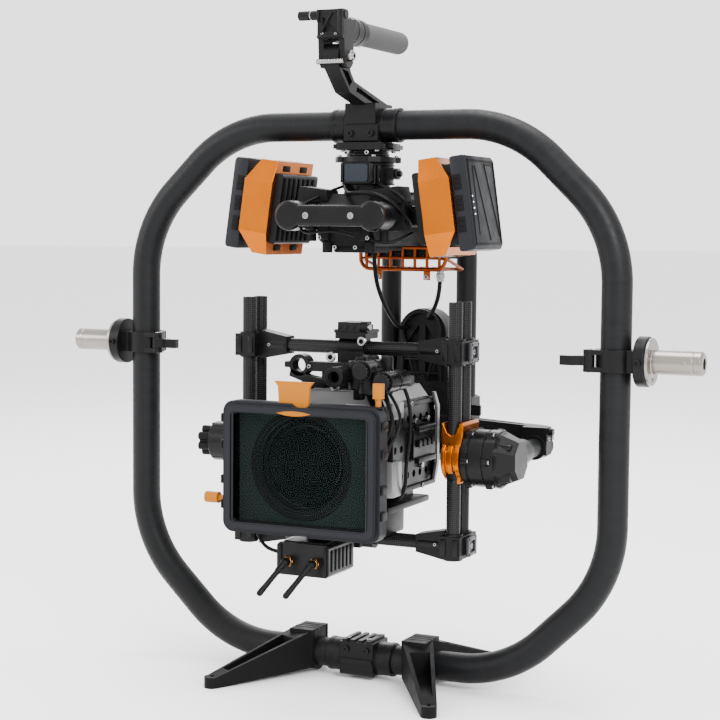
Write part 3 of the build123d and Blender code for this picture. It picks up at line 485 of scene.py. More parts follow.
def sweep_tube(bm, path, radius, bore=0.0, segments=48):
    """A tube along a path, closed at its ends, with its UV in metres round and along it."""
    uv = bm.loops.layers.uv.verify()
    last = len(path) - 1
    tangents = [(path[min(k + 1, last)] - path[max(k - 1, 0)]).normalized() for k in range(last + 1)]
    side = basis(tangents[0])[0]
    rings, travelled, distances = [], 0.0, []
    for k, (point, tangent) in enumerate(zip(path, tangents)):
        if k:
            travelled += (point - path[k - 1]).length
        side = (side - tangent * side.dot(tangent)).normalized()
        up = tangent.cross(side)
        rings.append([bm.verts.new(point + offset) for offset in around(segments, radius, side, up)])
        distances.append(travelled)
    for low, high, near, far in zip(rings, rings[1:], distances, distances[1:]):
        for j in range(segments):
            after = (j + 1) % segments
            face = bm.faces.new([low[j], low[after], high[after], high[j]])
            arc = 2 * math.pi * radius / segments
            for loop, value in zip(face.loops, ((j, near), (j + 1, near), (j + 1, far), (j, far))):
                loop[uv].uv = (value[0] * arc, value[1])
    for ring, point, tangent in ((rings[0], path[0], -tangents[0]), (rings[-1], path[-1], tangents[-1])):
        if not bore:
            bm.faces.new(ring)
            continue
        lip = [bm.verts.new(point + (vert.co - point) * (bore / radius)) for vert in ring]
        floor = [bm.verts.new(vert.co - tangent * radius) for vert in lip]
        for j in range(segments):
            after = (j + 1) % segments
            bm.faces.new([ring[j], ring[after], lip[after], lip[j]])
            bm.faces.new([lip[j], lip[after], floor[after], floor[j]])
        bm.faces.new(floor)


def wire(name, points, diameter, body, replaced=()):
    """A cable as one smooth spline with a round section. Points are in millimetres."""
    curve = bpy.data.curves.new(name, "CURVE")
    curve.dimensions = "3D"
    curve.bevel_depth = diameter * MM / 2
    curve.bevel_resolution = 5
    curve.resolution_u = 10
    spline = curve.splines.new("NURBS")
    spline.points.add(len(points) - 1)
    for target, point in zip(spline.points, points):
        target.co = (*mm(*point), 1)
    spline.order_u = 3
    spline.use_endpoint_u = True
    curve.use_fill_caps = True
    curve.materials.append(CABLE)
    piece = bpy.data.objects.new(name, curve)
    bpy.context.scene.collection.objects.link(piece)
    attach(piece, body)
    if replaced:
        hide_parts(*replaced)
    return piece


# ------------ ring

TUBE_R = 16 * MM
CORNER_X, CORNER_Z, RING_BEND = 113 * MM, 110 * MM, 135 * MM
PIN_R, FLANGE_R, FLANGE_DEPTH = 0.0125, 0.0245, 0.0035
ring_low, ring_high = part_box("ring_half_right")
ring_half_width = ring_high.x - TUBE_R
ring_top, ring_bottom = ring_high.z - TUBE_R, ring_low.z + TUBE_R
for side, word in SIDES:
    inner_x, bend_x = side * ring_low.x, side * (ring_half_width - CORNER_X)
    outer_x = side * ring_half_width
    corners = [(inner_x, ring_top), (bend_x, ring_top), (outer_x, ring_top - CORNER_Z),
               (outer_x, ring_bottom + CORNER_Z), (bend_x, ring_bottom), (inner_x, ring_bottom)]
    bm = bmesh.new()
    sweep_tube(bm, rounded_path([Vector((x, 0, z)) for x, z in corners], RING_BEND), TUBE_R, segments=72)
    add_piece(f"ring_tube_{word}", bm, "root", WOUND, [f"ring_half_{word}"], "carbon_ring")

bm = bmesh.new()
for z in (ring_top, ring_bottom):
    for side in (-1, 1):
        for near, far, radius in ((0.0335, 0.0385, 0.0187), (0.0215, 0.0235, 0.0186)):
            rod(bm, Vector((side * near, 0, z)), Vector((side * far, 0, z)), radius, 0.0161, segments=72)
add_piece("joiner_collars", bm, "root", BLACK)
add_screws("joiner_small_screws", "root",
           ([mm(x, y, 45.2) for x in (-12, 12) for y in (-13, 13)], Z, 0.0026, 0.0012),
           ([mm(x, -30, 577) for x in (-12, 12)], -Y, 0.0024, 0.0012))

for side, word in SIDES:
    pin_low, pin_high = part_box(f"side_pin_{word}")
    start = Vector((pin_low.x if side > 0 else pin_high.x, 0, (pin_low.z + pin_high.z) / 2))
    length = pin_high.x - pin_low.x
    groove, bore, bore_depth = PIN_R - 0.0004, 0.006, 0.006
    profile = [(0, 0), (0, FLANGE_R - 0.0007), (0.0006, FLANGE_R), (0.0029, FLANGE_R),
               (FLANGE_DEPTH, FLANGE_R - 0.0007), (FLANGE_DEPTH, 0.0135), (0.0045, PIN_R),
               (length - 0.0105, PIN_R), (length - 0.0100, groove), (length - 0.0088, groove),
               (length - 0.0083, PIN_R), (length - 0.002, PIN_R), (length, 0.0105), (length, bore),
               (length - bore_depth, bore), (length - bore_depth, 0)]
    bm = bmesh.new()
    revolve(bm, profile, start, X * side, 96)
    revolve(bm, [(0, 0.0022), (0.0006, 0.0018), (0.001, 0)], Vector((side * 0.356, -0.0122, start.z)), -Y, 24)
    add_piece(f"mounting_pin_{word}", bm, "root", STEEL, [f"side_pin_{word}"])
    flange = start + X * side * FLANGE_DEPTH
    seats = [flange + out for out in around(3, 0.0185, Y, Z, math.degrees(0.5))]
    add_screws(f"flange_screws_{word}", "root", (seats, X * side, 0.002, 0.0008))
    bm = bmesh.new()
    bar(bm, (side * 258, -15, 351), Z, 375.2, 0.0028)
    bar(bm, (side * 274, 21, 350.5), Z, 375.5, 0.0026)
    add_piece(f"clamp_pins_{word}", bm, "root", BRIGHT_STEEL)

# ------------ top handle

grip_low, grip_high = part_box("handle_grip")
grip_axis = Vector((0, grip_low.y, (grip_low.z + grip_high.z) / 2))
grip_length = grip_high.y - grip_low.y
GRIP_R = (grip_high.z - grip_low.z) / 2
END_ROUND = 0.009
bm = bmesh.new()
profile = [(0, 0.008), (0, GRIP_R - 0.001), (0.0012, GRIP_R)]
profile += [(grip_length * k / 12, GRIP_R) for k in range(1, 11)]
profile += [(grip_length - END_ROUND * (1 - math.sin(a)), GRIP_R - END_ROUND * (1 - math.cos(a)))
            for a in (math.radians(10 * k) for k in range(10))]
profile.append((grip_length, 0))
revolve(bm, profile, grip_axis, Y, 72)
foam_grip = add_piece("foam_grip", bm, "handle", FOAM, ["handle_grip"])

HINGE_Y, HINGE_Z = -82, 674
KNOB_Y, KNOB_Z = -90, 716
BRACKET_Y = -96
GRIP_Z = 703
PIN_Y, PIN_Z = BRACKET_Y + 2, 668
bm = bmesh.new()
bar(bm, (-16.5, PIN_Y, PIN_Z), X, 14, 0.0026, segments=20)
for k in range(9):
    x = -15 + 3.2 * k
    bar(bm, (x, PIN_Y, PIN_Z), X, x + 1.2, 0.0030, segments=20)
socket_screw(bm, mm(20, HINGE_Y, HINGE_Z), X, 0.0045, 0.0012)
for x, z in ((-9.5, 696.5), (6, 695.5), (11, 716)):
    socket_screw(bm, mm(x, BRACKET_Y, z), -Y, 0.0016, 0.0008)
add_piece("handle_bright_parts", bm, "handle", BRIGHT_STEEL)

bm = bmesh.new()
prism(bm, [(-0.0100, 0.0), (-0.0078, 0.0), (0.0050, 0.0205), (0.0028, 0.0205)],
      mm(-2, BRACKET_Y, 697), X, Z, 0.0018, 0.0003)
prism(bm, [(0.0090, 0.0), (0.0150, -0.006), (0.0150, 0.024), (0.0090, 0.024)],
      mm(0, BRACKET_Y, 697), X, Z, 0.003, 0.0008)
block(bm, mm(-15, BRACKET_Y - 2, 708), mm(-12.4, BRACKET_Y + 1, 721))
block(bm, mm(-15, BRACKET_Y - 2, 692), mm(15, BRACKET_Y + 1, 694.5))
bar(bm, (-15, KNOB_Y, KNOB_Z), X, 16, 0.0049)
for y in (-80, -68, -56, -42):
    bar(bm, (0, y, GRIP_Z), Y, y + 3, 0.0149, 0.0144)
add_piece("handle_bracket_ribs", bm, "handle", BLACK)

bm = bmesh.new()
bar(bm, (-26.2, KNOB_Y, KNOB_Z), X, -24.4, 0.0042)
add_piece("handle_knob_ring", bm, "handle_knob", BRIGHT_STEEL)

# ------------ pan axis and frame

add_screws("stator_screws", "root",
           ([out + mm(0, 0, 573) for out in around(4, 0.0315, X, Y, 35)], Z, 0.0024, 0.002),
           ([mm(x, y, 580) for y in (-22, 22) for x in (-20, 20)], -Z, 0.0025, 0.0018))

bm = bmesh.new()
for low_z, high_z, radius in ((574, 576.5, 0.0235), (577.2, 579, 0.0225)):
    bar(bm, (0, 0, low_z), Z, high_z, radius, 0.0198, segments=72)
blocks(bm, 0.0006, ((-30, -26, 581.5), (-26, 26, 586.5)), ((26, -26, 581.5), (30, 26, 586.5)))
add_piece("release_plate_rails", bm, "root", SATIN_BLACK)

bm = bmesh.new()
for low_z, high_z, radius, bore in ((543.2, 545, 0.0292, 0.0278), (563, 565, 0.0290, 0.0278),
                                    (533.2, 536, 0.0262, 0.0238)):
    bar(bm, (0, 0, low_z), Z, high_z, radius, bore, segments=72)
block(bm, mm(29, -6, 550.5), mm(37, 6, 559.5), 0.0012)
bar(bm, (37, 0, 555), X, 40, 0.0032)
block(bm, mm(19, -22, 546), mm(23, -18, 564), 0.0012)
for x in (-17, 17):
    block(bm, mm(x - 1.6, -31, 545), mm(x + 1.6, -27, 566), 0.0008)
add_piece("pan_motor_trim", bm, "pan", SATIN_BLACK)

PAN_TUBE_BEND = 50 * MM
for side, word in SIDES:
    tube_low, tube_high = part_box(f"pan_tube_{word}")
    radius = (tube_high.x - tube_low.x) / 2
    x = (tube_low.x + tube_high.x) / 2
    top, back = tube_high.z - radius, tube_high.y - radius
    route = [Vector((x, tube_low.y, top)), Vector((x, back, top)), Vector((x, back, tube_low.z))]
    bm = bmesh.new()
    sweep_tube(bm, rounded_path(route, PAN_TUBE_BEND, 0.003), radius, segments=56)
    add_piece(f"pan_frame_tube_{word}", bm, "pan", WOUND, [f"pan_tube_{word}"])

PAN_TUBE_X, PAN_TUBE_Z = 48, 509
bm = bmesh.new()
for side in (-1, 1):
    x = side * PAN_TUBE_X
    bar(bm, (x, -84, PAN_TUBE_Z), Y, -66, 0.0150, 0.0122, segments=56)
    block(bm, mm(side * 40 - 5, -62, 494), mm(side * 40 + 5, -44, 500), 0.001)
    for y in (-43, 77):
        bar(bm, (x, y, PAN_TUBE_Z), Y, y + 10, 0.0155, 0.0122, segments=56)
add_piece("pan_tube_collars", bm, "pan", BLACK)

bm = bmesh.new()
wedge = [(-62, 522), (-24, 524), (-26, 537), (-58, 541)]
for side in (-1, 1):
    outline = [(side * x * MM, z * MM) for x, z in wedge]
    prism(bm, outline if side < 0 else outline[::-1], mm(0, -20, 0), X, Z, 0.030, 0.0015)
blocks(bm, 0.001, ((-30, -61, 483), (-18, -54, 500)), ((18, -61, 483), (30, -54, 500)))
block(bm, mm(-22, -40, 470), mm(22, 10, 479), 0.0025)
block(bm, mm(-16, 20, 472), mm(16, 60, 478), 0.002)
for x in (-25, 25):
    bar(bm, (x, -48, 470), Z, 482, 0.0055)
    bar(bm, (x * 1.7, -50, 482), Z, 495, 0.0048)
add_piece("control_unit_covers", bm, "pan", MATT_BLACK)
add_screws("control_unit_screws", "pan",
           ([mm(x, -61, z) for x, z in ((-28, 486), (28, 486), (-10, 476), (14, 476))], -Y, 0.0022, 0.001),
           ([mm(x, y, 537) for x in (-20, 20) for y in (44, 64, 84)], Z, 0.002, 0.001),
           ([mm(side * 30, 96, 441) for side in (-1, 1)], -Y, 0.0028, 0.0016))

PAN_LEADS = {  # diameter, route
    "motor_lead_left": (3.2, [(-20, -16, 542), (-26, -30, 538), (-38, -56, 527), (-44, -78, 519),
                              (-52, -74, 512)]),
    "motor_lead_right": (5.0, [(-16, -24, 541), (-6, -40, 533), (12, -62, 533), (36, -72, 534),
                               (58, -64, 524), (66, -42, 508), (62, -24, 500)]),
    "motor_lead_outer": (4.0, [(22, -22, 545), (34, -40, 541), (54, -52, 536), (70, -44, 520),
                               (74, -30, 508)]),
    "lower_lead_left": (3.2, [(-44, -76, 496), (-34, -84, 490), (-18, -86, 492), (4, -82, 494),
                              (18, -70, 488)]),
    "lower_lead_right": (3.5, [(30, -58, 484), (44, -54, 480), (58, -44, 484), (66, -30, 492)]),
}
for name, (diameter, route) in PAN_LEADS.items():
    wire(name, route, diameter, "pan")
ROLL_LEAD = 5
wire("roll_lead_left", [(-24, 70, 477), (-24, 70, 446), (-23, 92, 412), (-20, 124, 384), (-18, 138, 380),
                        (-18, 156, 380)], ROLL_LEAD, "pan", ["roll_cables"])
wire("roll_lead_right", [(36, 122, 449), (36, 122, 425), (26, 128, 402), (12, 139, 392), (12, 156, 392)],
     ROLL_LEAD, "pan")

bm = bmesh.new()
bar(bm, (36, 122, 436), Z, 449, 0.0042)
bar(bm, (36, 122, 440), Z, 445, 0.0050)
add_piece("vent_guard_connector", bm, "pan", BRIGHT_STEEL)

guard_low, guard_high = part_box("vent_guard")
GUARD_BAR, THIN_BAR = 0.0023, 0.0023 * 0.8
GUARD_SCREW_X = 0.030
bm = bmesh.new()
left, right = guard_low.x + GUARD_BAR, guard_high.x - GUARD_BAR
front, back = guard_low.y + GUARD_BAR, guard_high.y - GUARD_BAR
upper, lower = guard_high.z - GUARD_BAR, 0.450
lip = [Vector((left, front, upper)), Vector((left, front, lower)), Vector((right, front, lower)),
       Vector((right, front, upper))]
sweep_tube(bm, rounded_path(lip, 0.012, 0.002), GUARD_BAR, segments=20)
rim_z = lower + 0.013
rim = [Vector((left, back, lower)), Vector((left, front, rim_z)), Vector((right, front, rim_z)),
       Vector((right, back, lower))]
sweep_tube(bm, rounded_path(rim, 0.010, 0.002), THIN_BAR, segments=20)
rod(bm, Vector((left, front, upper)), Vector((right, front, upper)), GUARD_BAR, segments=20)
rod(bm, Vector((left, back, lower)), Vector((right, back, lower)), GUARD_BAR, segments=20)
for k in range(7):
    x = left + (right - left) * (k + 0.5) / 7
    rod(bm, Vector((x, front, upper)), Vector((x, front, lower)), THIN_BAR, segments=16)
    rod(bm, Vector((x, front, lower)), Vector((x, back, lower)), THIN_BAR, segments=16)
for side in (-1, 1):
    block(bm, Vector((side * GUARD_SCREW_X - 0.004, front - 0.001, guard_low.z)),
          Vector((side * GUARD_SCREW_X + 0.004, front + 0.0015, lower)), 0.0008)
add_piece("vent_guard_bars", bm, "pan", COPPER, ["vent_guard"])
seats = [Vector((side * GUARD_SCREW_X, front - 0.001, guard_low.z + 0.004)) for side in (-1, 1)]
add_screws("vent_guard_screws", "pan", (seats, -Y, 0.0026, 0.0014))

bm = bmesh.new()
block(bm, mm(-50, 101, 468), mm(50, 147, 476), 0.001)
for x in (-50, -35, -20, -5, 10, 25, 40):
    block(bm, mm(x, 100, 462), mm(x + 8, 146, 474), 0.001)
add_piece("vent_guard_fins", bm, "pan", MATT_BLACK)

# ------------ batteries

BAY_TILT = math.radians(8)
BAY_X, BAY_Y, BAY_Z = 89, -15, 517
FACE, FACE_EDGE = 52.6, 53.8  # where the ribs of a battery's outer face start and end


def bay_tools(side):
    """Ways to place points and blocks in a leaning bay: outboard, back from its middle and up, in mm."""
    across = Vector((side * math.cos(BAY_TILT), 0, math.sin(BAY_TILT)))
    upward = Vector((-side * math.sin(BAY_TILT), 0, math.cos(BAY_TILT)))
    center = mm(side * BAY_X, BAY_Y, BAY_Z)
    turn = Matrix((across, -Y, upward)).transposed().to_4x4()
    turn.translation = center

    def at(u, y, w):
        return center + across * u * MM - Y * y * MM + upward * w * MM

    def lean_block(bm, u0, u1, y0, y1, w0, w1, edge):
        block(bm, mm(u0, y0, w0), mm(u1, y1, w1), edge * MM, turn)

    return at, lean_block, across


for side, word in SIDES:
    at, lean_block, across = bay_tools(side)
    battery = f"battery_{word}"
    bm = bmesh.new()
    lean_block(bm, 4, 36, -49, 35, -42.4, 42.4, 1)
    lean_block(bm, 34.6, 51.5, -42, 41.6, -49.4, 49.4, 3)
    lean_block(bm, 44, 53, -40, 39.5, -47, 47, 2)
    add_piece(f"battery_case_{word}", bm, battery, CASE_BLACK, [battery])

    bm = bmesh.new()
    for y0, y1, w0, w1 in ((-38, 37, 42.5, 44.5), (-38, 37, -44.5, -42.5), (34.5, 37, -44.5, 44.5),
                           (-38, -35.5, -44.5, 44.5)):
        lean_block(bm, FACE, FACE_EDGE, y0, y1, w0, w1, 0.4)
    for from_y, from_w, to_y, to_w in ((18, 38, -6, -40), (24, 38, 24, -34), (-10, 40, -33, -36),
                                       (-33, 40, -10, 40)):
        rod(bm, at(53, from_y, from_w), at(53, to_y, to_w), 0.0008, segments=10)
    for k in range(3):
        w0 = -30 + 22 * k
        lean_block(bm, 37.5, 45.5, 41, 42.3, w0, w0 + 16, 0.5)
        for rib in range(3):
            lean_block(bm, 38.5, 44.5, 41.8, 43.2, w0 + 2 + 5 * rib, w0 + 4.5 + 5 * rib, 0.3)
    add_piece(f"battery_ribs_{word}", bm, battery, MATT_BLACK)

    bm = bmesh.new()
    for k in range(4):
        spot = at(53.6, 35 - 0.9 * k, 6 - 6.2 * k)
        revolve(bm, [(0, 0.0009), (0.0004, 0.0008), (0.0005, 0)], spot, across, 16)
    add_piece(f"battery_leds_{word}", bm, battery, WHITE_LED)

    bm = bmesh.new()
    for w in (-47, 47):
        for y in (-28, 8):
            lean_block(bm, 5, 13, y, y + 17, w - 4.2, w + 4.2, 0.6)
    for y in (-30, 10):
        lean_block(bm, -1.2, 0.2, y, y + 14, 40, 46.5, 0.5)
        lean_block(bm, -1.2, 0.2, y, y + 14, -46.5, -40, 0.5)
    for k in range(7):
        lean_block(bm, -10.5, -8.8, -36 + 11 * k, -30 + 11 * k, -34, 34, 0.6)
    add_piece(f"bay_pads_{word}", bm, "pan", MATT_BLACK)

# ------------ roll axis

AXIS_Z = 257  # height of the roll and tilt axes
bm = bmesh.new()
for radius, front, back in ((34, 138.9, 140), (27, 115.2, 116.4), (20, 115.2, 116.4)):
    bar(bm, (0, front, AXIS_Z), Y, back, radius * MM, (radius - 2.5) * MM, segments=80)
add_piece("roll_hub_rings", bm, "roll", SATIN_BLACK)
add_screws("roll_arm_screws", "roll",
           ([mm(0, 115.5, AXIS_Z) + out for out in around(6, 0.0265, X, Z, 15)], -Y, 0.0022, 0.0012),
           *[([mm(side * 189, y, 270) for y in (62, 74)], X * side, 0.0026, 0.0022) for side in (-1, 1)])

bm = bmesh.new()
for side in (-1, 1):
    brace = [(0.006, 0.320), (0.0085, 0.320), (0.023, 0.366), (0.0205, 0.366)]
    prism(bm, [(side * u, v) for u, v in brace][::side], mm(0, 156, 0), X, Z, 0.004)
    block(bm, mm(side * 24 - 1.5, 152, 318), mm(side * 24 + 1.5, 157, 370))
bar(bm, (0, 150, 376), Y, 156.5, 0.026, 0.0215, segments=64)
bar(bm, (0, 184, AXIS_Z), Y, 185.5, 0.034, segments=80)
for z in (326, 342, 358):
    block(bm, mm(-22, 153, z), mm(22, 157, z + 2.4))
add_piece("roll_bracket_ribs", bm, "pan", BLACK)
add_screws("roll_bracket_screws", "pan",
           ([mm(side * 56, 156, z) for side in (-1, 1) for z in (272, 290)], -Y, 0.0026, 0.002),
           ([mm(side * 17, 156, 392) for side in (-1, 1)], -Y, 0.0022, 0.0016),
           ([mm(0, 185.5, AXIS_Z) + out for out in around(8, 0.030, X, Z)], Y, 0.0018, 0.0004))

ARM_TUBE_X, ARM_TUBE_Z, ARM_TUBE_BACK = 175, 260, 78
for (side, word), front in zip(SIDES, (20, 2)):
    route = [mm(side * ARM_TUBE_X, front + (ARM_TUBE_BACK - front) * k / 6, ARM_TUBE_Z) for k in range(7)]
    bm = bmesh.new()
    sweep_tube(bm, route, 0.010)
    add_piece(f"arm_tube_{word}", bm, "roll", WOUND, ["arm_tubes"] if side < 0 else ())

# ------------ tilt axis

TILT_Y = -30


def on_tilt_axis(x):
    return mm(x, TILT_Y, AXIS_Z)


bm = bmesh.new()
for start, end, radius in ((134.5, 136, 29.5), (143, 158, 30.2), (172, 174, 28.5)):
    rod(bm, on_tilt_axis(start), on_tilt_axis(end), radius * MM, 0.024, segments=96)
for out in around(6, 0.0305, Y, Z):
    for start, end in ((136.5, 143.5), (159.5, 166.5)):
        rod(bm, on_tilt_axis(start) + out, on_tilt_axis(end) + out, 0.0036)
for out in around(4, 1, Y, Z, 45):
    block(bm, mm(174, -34, 253) + out * 0.0235, mm(187, -26, 261) + out * 0.0195, 0.001)
add_piece("tilt_motor_bands", bm, "roll", SATIN_BLACK)
add_screws("tilt_motor_screws", "roll",
           *[([on_tilt_axis(x) + out for out in around(6, 0.0308, Y, Z)], X, radius, height)
             for x, radius, height in ((166.5, 0.0024, 0.0016), (143.5, 0.0020, 0.0012))])

for side, word in SIDES:
    clamp_low, clamp_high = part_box(f"tilt_clamp_{word}")
    outer = clamp_high.x if side > 0 else -clamp_low.x
    top, bottom = clamp_high.z, clamp_low.z
    bm = bmesh.new()
    grooves = [(0.1110, 0), (0.1110, 0.0245), (0.1125, 0.0262), (0.1155, 0.0262), (0.1165, 0.0240),
               (0.1180, 0.0240), (0.1188, 0.0258), (0.1235, 0.0258), (0.1245, 0.0236), (0.1262, 0.0236),
               (0.1272, 0.0268), (0.1315, 0.0268), (0.1325, 0.0255), (0.1325, 0.0150), (outer, 0.0150),
               (outer, 0)]
    revolve(bm, grooves, on_tilt_axis(0), X * side, 96)
    horns = [(0.1115, 0.262), (0.1105, top - 0.002), (0.1135, top - 0.001), (0.1165, 0.2835),
             (0.1220, 0.2800), (0.1275, 0.2835), (0.1305, top - 0.002), (0.1345, top), (0.1365, top - 0.003),
             (0.1340, 0.284), (0.1320, 0.262)]
    toe = [(0.1160, 0.246), (0.1315, 0.246), (0.1315, bottom + 0.002), (0.1290, bottom),
           (0.1235, bottom + 0.001), (0.1205, 0.234)]
    for outline, back, depth in ((horns, -8, 0.044), (toe, -12, 0.036)):
        prism(bm, [(u * side, v) for u, v in outline][::side], mm(0, back, 0), X, Z, depth, 0.0010)
    add_piece(f"tilt_clamp_body_{word}", bm, "tilt", ORANGE, [f"tilt_clamp_{word}"])

bm = bmesh.new()
for side in (-1, 1):
    socket_screw(bm, mm(side * 126, -58, 236), -Y, 0.0028, 0.002)
    block(bm, mm(side * 124 - 6, -4, 268), mm(side * 124 + 6, 2, 292), 0.001)
add_piece("tilt_clamp_lever_plates", bm, "tilt", SATIN_BLACK)

# ------------ payload cage

CAGE_X, UPRIGHT_Y, CROSSBAR_Y, CROSSBAR_Z = 122, (-43, -18), -30.5, (163, 368)
CAGE_R, COLLAR_BORE = 0.0075, 0.0077
cage_low, cage_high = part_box("cage_tubes")
CORNERS = [(side, z) for side in (-1, 1) for z in CROSSBAR_Z]
bm = bmesh.new()
for side in (-1, 1):
    for y in UPRIGHT_Y:
        heights = [cage_low.z + (cage_high.z - cage_low.z) * k / 8 for k in range(9)]
        sweep_tube(bm, [Vector((side * CAGE_X * MM, y * MM, z)) for z in heights], CAGE_R, 0.006, 40)
for z in CROSSBAR_Z:
    sweep_tube(bm, [mm(-113 + 226 * k / 8, CROSSBAR_Y, z) for k in range(9)], CAGE_R, segments=40)
add_piece("carbon_cage", bm, "tilt", WOVEN, ["cage_tubes"])

bm = bmesh.new()
for side, z in CORNERS:
    x = side * CAGE_X
    for y in UPRIGHT_Y:
        bar(bm, (x, y, z - 14), Z, z + 14, 0.0105, COLLAR_BORE)
    bar(bm, (side * 80, CROSSBAR_Y, z), X, side * 110, 0.0102, COLLAR_BORE)
    for near in (112, 126):
        block(bm, mm(side * near, -55.5, z - 9), mm(side * (near + 6), -52, z + 9), 0.0008)
add_piece("corner_collars", bm, "tilt", SATIN_BLACK)

bm = bmesh.new()
LATCH_BARS = ((-40, -18, 6, 10), (-40, -18, -10, -6), (-41, -36, -10, 10), (-22, -17, -10, 10))
for side, z in CORNERS:
    for y0, y1, low, high in LATCH_BARS:
        block(bm, mm(side * 135.5, y0, z + low), mm(side * 139, y1, z + high), 0.0008)
add_piece("corner_latches", bm, "tilt", GREY_METAL)
add_screws("corner_screws", "tilt",
           *[([mm(side * 136, -29, z)], X * side, 0.003, 0.002) for side, z in CORNERS],
           ([mm(side * 100, -40, z) for side, z in CORNERS], -Y, 0.0018, 0.0008))

# ------------ camera and lens

bm = bmesh.new()
blocks(bm, 0.001, ((-50, -77, 286), (-6, -74, 304)), ((12, -77, 300), (46, -74, 312)),
       ((-46, -77, 214), (46, -74, 222)),
       *[((-53.5, -64 + 16 * k, 228), (-51, -56 + 16 * k, 300)) for k in range(7)])
blocks(bm, 0.0015, ((-30, -70, 322), (32, 50, 326)))
blocks(bm, 0.002, ((57, -75, 214), (66, -50, 252)), ((57, -75, 296), (65, -44, 314)))
prism(bm, [(0.038, 0.220), (0.044, 0.220), (0.052, 0.236), (0.052, 0.302), (0.040, 0.318), (0.034, 0.318),
           (0.046, 0.300), (0.046, 0.238)], mm(63.2, 0, 0), Y, Z, 0.003)
bar(bm, (0, -80, 255), Y, -75, 0.044, segments=80)
add_piece("camera_front_details", bm, "tilt", SILVER_PAINT)

bm = bmesh.new()
blocks(bm, 0.0006, *[((52, -66, 232 + 8.5 * k), (54.4, 44, 235.5 + 8.5 * k)) for k in range(8)])
add_piece("camera_vents", bm, "tilt", MATT_BLACK)

bm = bmesh.new()
blocks(bm, 0.0012, ((59.5, -70, 214), (63, -64, 312)), ((59.5, 46, 218), (63, 52, 306)),
       ((59.5, -66, 306), (63, 46, 311)), ((59.5, -66, 215), (63, 50, 220)),
       ((64, -14, 244), (70, 34, 250)), ((64, -14, 278), (70, 34, 284)))
for k in range(4):
    bar(bm, (66, -8 + 12 * k, 265), X, 69.5, 0.0042)
blocks(bm, 0.002, ((38, -72, 196), (60, 40, 203)))
blocks(bm, 0.003, ((40, -60, 170), (52, -10, 198)))
add_piece("side_plate_rails", bm, "tilt", BLACK)

bm = bmesh.new()
for y, z in ((-62, 300), (-62, 226), (44, 300), (44, 226), (-20, 309), (12, 217)):
    socket_screw(bm, mm(63, y, z), X, 0.0028, 0.0012)
for y, z in ((-8, 289), (10, 240), (26, 289)):
    bar(bm, (60, y, z), X, 64.5, 0.0034)
add_piece("side_plate_fittings", bm, "tilt", BRIGHT_STEEL)

BARREL_R, GRIP_RING_R, RIBS = 0.045, 0.0473, 96
lens_back = mm(0, -77, 255)
profile = [(0, 0), (0, 0.043), (0.004, BARREL_R)]
for start in (0.009, 0.022, 0.042):
    profile += [(start, BARREL_R), (start + 0.0006, GRIP_RING_R), (start + 0.0075, GRIP_RING_R),
                (start + 0.0081, BARREL_R)]
profile += [(0.067, BARREL_R), (0.069, 0.0435), (0.069, 0.0405), (0.062, 0.038), (0.058, 0.034)]
bm = bmesh.new()
revolve(bm, profile, lens_back, -Y, 96)
for start in (0.022, 0.042):
    for out in around(RIBS, GRIP_RING_R - 0.0003, X, Z):
        spot = lens_back + out - Y * (start + 0.0012)
        rod(bm, spot, spot - Y * 0.0055, 0.0006, segments=6)
add_piece("lens_barrel", bm, "tilt", SATIN_BLACK, ["lens"])

bm = bmesh.new()
dome = [(0.055 + 0.010 * math.cos(a), 0.036 * math.sin(a)) for a in (math.radians(6 * k) for k in range(16))]
revolve(bm, dome, lens_back, -Y, 96)
add_piece("lens_front_glass", bm, "tilt", LENS_GLASS)

# ------------ filter box


BOX_X, BOX_Z = 5, 251  # the filter box's middle


def rounded_rectangle(width, height, corner, steps=6):
    """Points round a rounded rectangle about its middle, in the unit of its sizes."""
    points = []
    for sx, sz, first in ((1, 1, 0), (-1, 1, 90), (-1, -1, 180), (1, -1, 270)):
        for k in range(steps + 1):
            angle = math.radians(first + 90 * k / steps)
            points.append((sx * (width / 2 - corner) + corner * math.cos(angle),
                           sz * (height / 2 - corner) + corner * math.sin(angle)))
    return points


def frame_ring(bm, outer, inner, front, back):
    """A flat frame between two rounded rectangles about the filter box's middle, from front to back."""
    loops = []
    for shape in (outer, inner):
        for y in (front, back):
            loops.append([bm.verts.new(mm(BOX_X + u, y, BOX_Z + v)) for u, v in shape])
    count = len(loops[0])
    for k in range(count):
        after = (k + 1) % count
        for a, b in ((0, 1), (1, 3), (3, 2), (2, 0)):
            bm.faces.new([loops[a][k], loops[a][after], loops[b][after], loops[b][k]])


bm = bmesh.new()
for width, height, corner, front, back, inner_width, inner_height in (
        (168, 126, 9, -174.5, -171.5, 156, 116), (171, 129, 10, -173.2, -169, 160, 120),
        (154, 117, 4, -173.4, -167, 150, 113)):
    frame_ring(bm, rounded_rectangle(width, height, corner),
               rounded_rectangle(inner_width, inner_height, corner * 0.6), front, back)
add_piece("filter_box_rim", bm, "tilt", CASE_BLACK, slot="black_metal", sharp=40)

bm = bmesh.new()
for front, radius, bore in ((-159.5, 0.0565, 0.0520), (-157, 0.0515, 0.0485)):
    bar(bm, (0, front, 255), Y, -152, radius, bore, segments=96)
add_piece("filter_box_inner_rings", bm, "tilt", GREY_METAL)

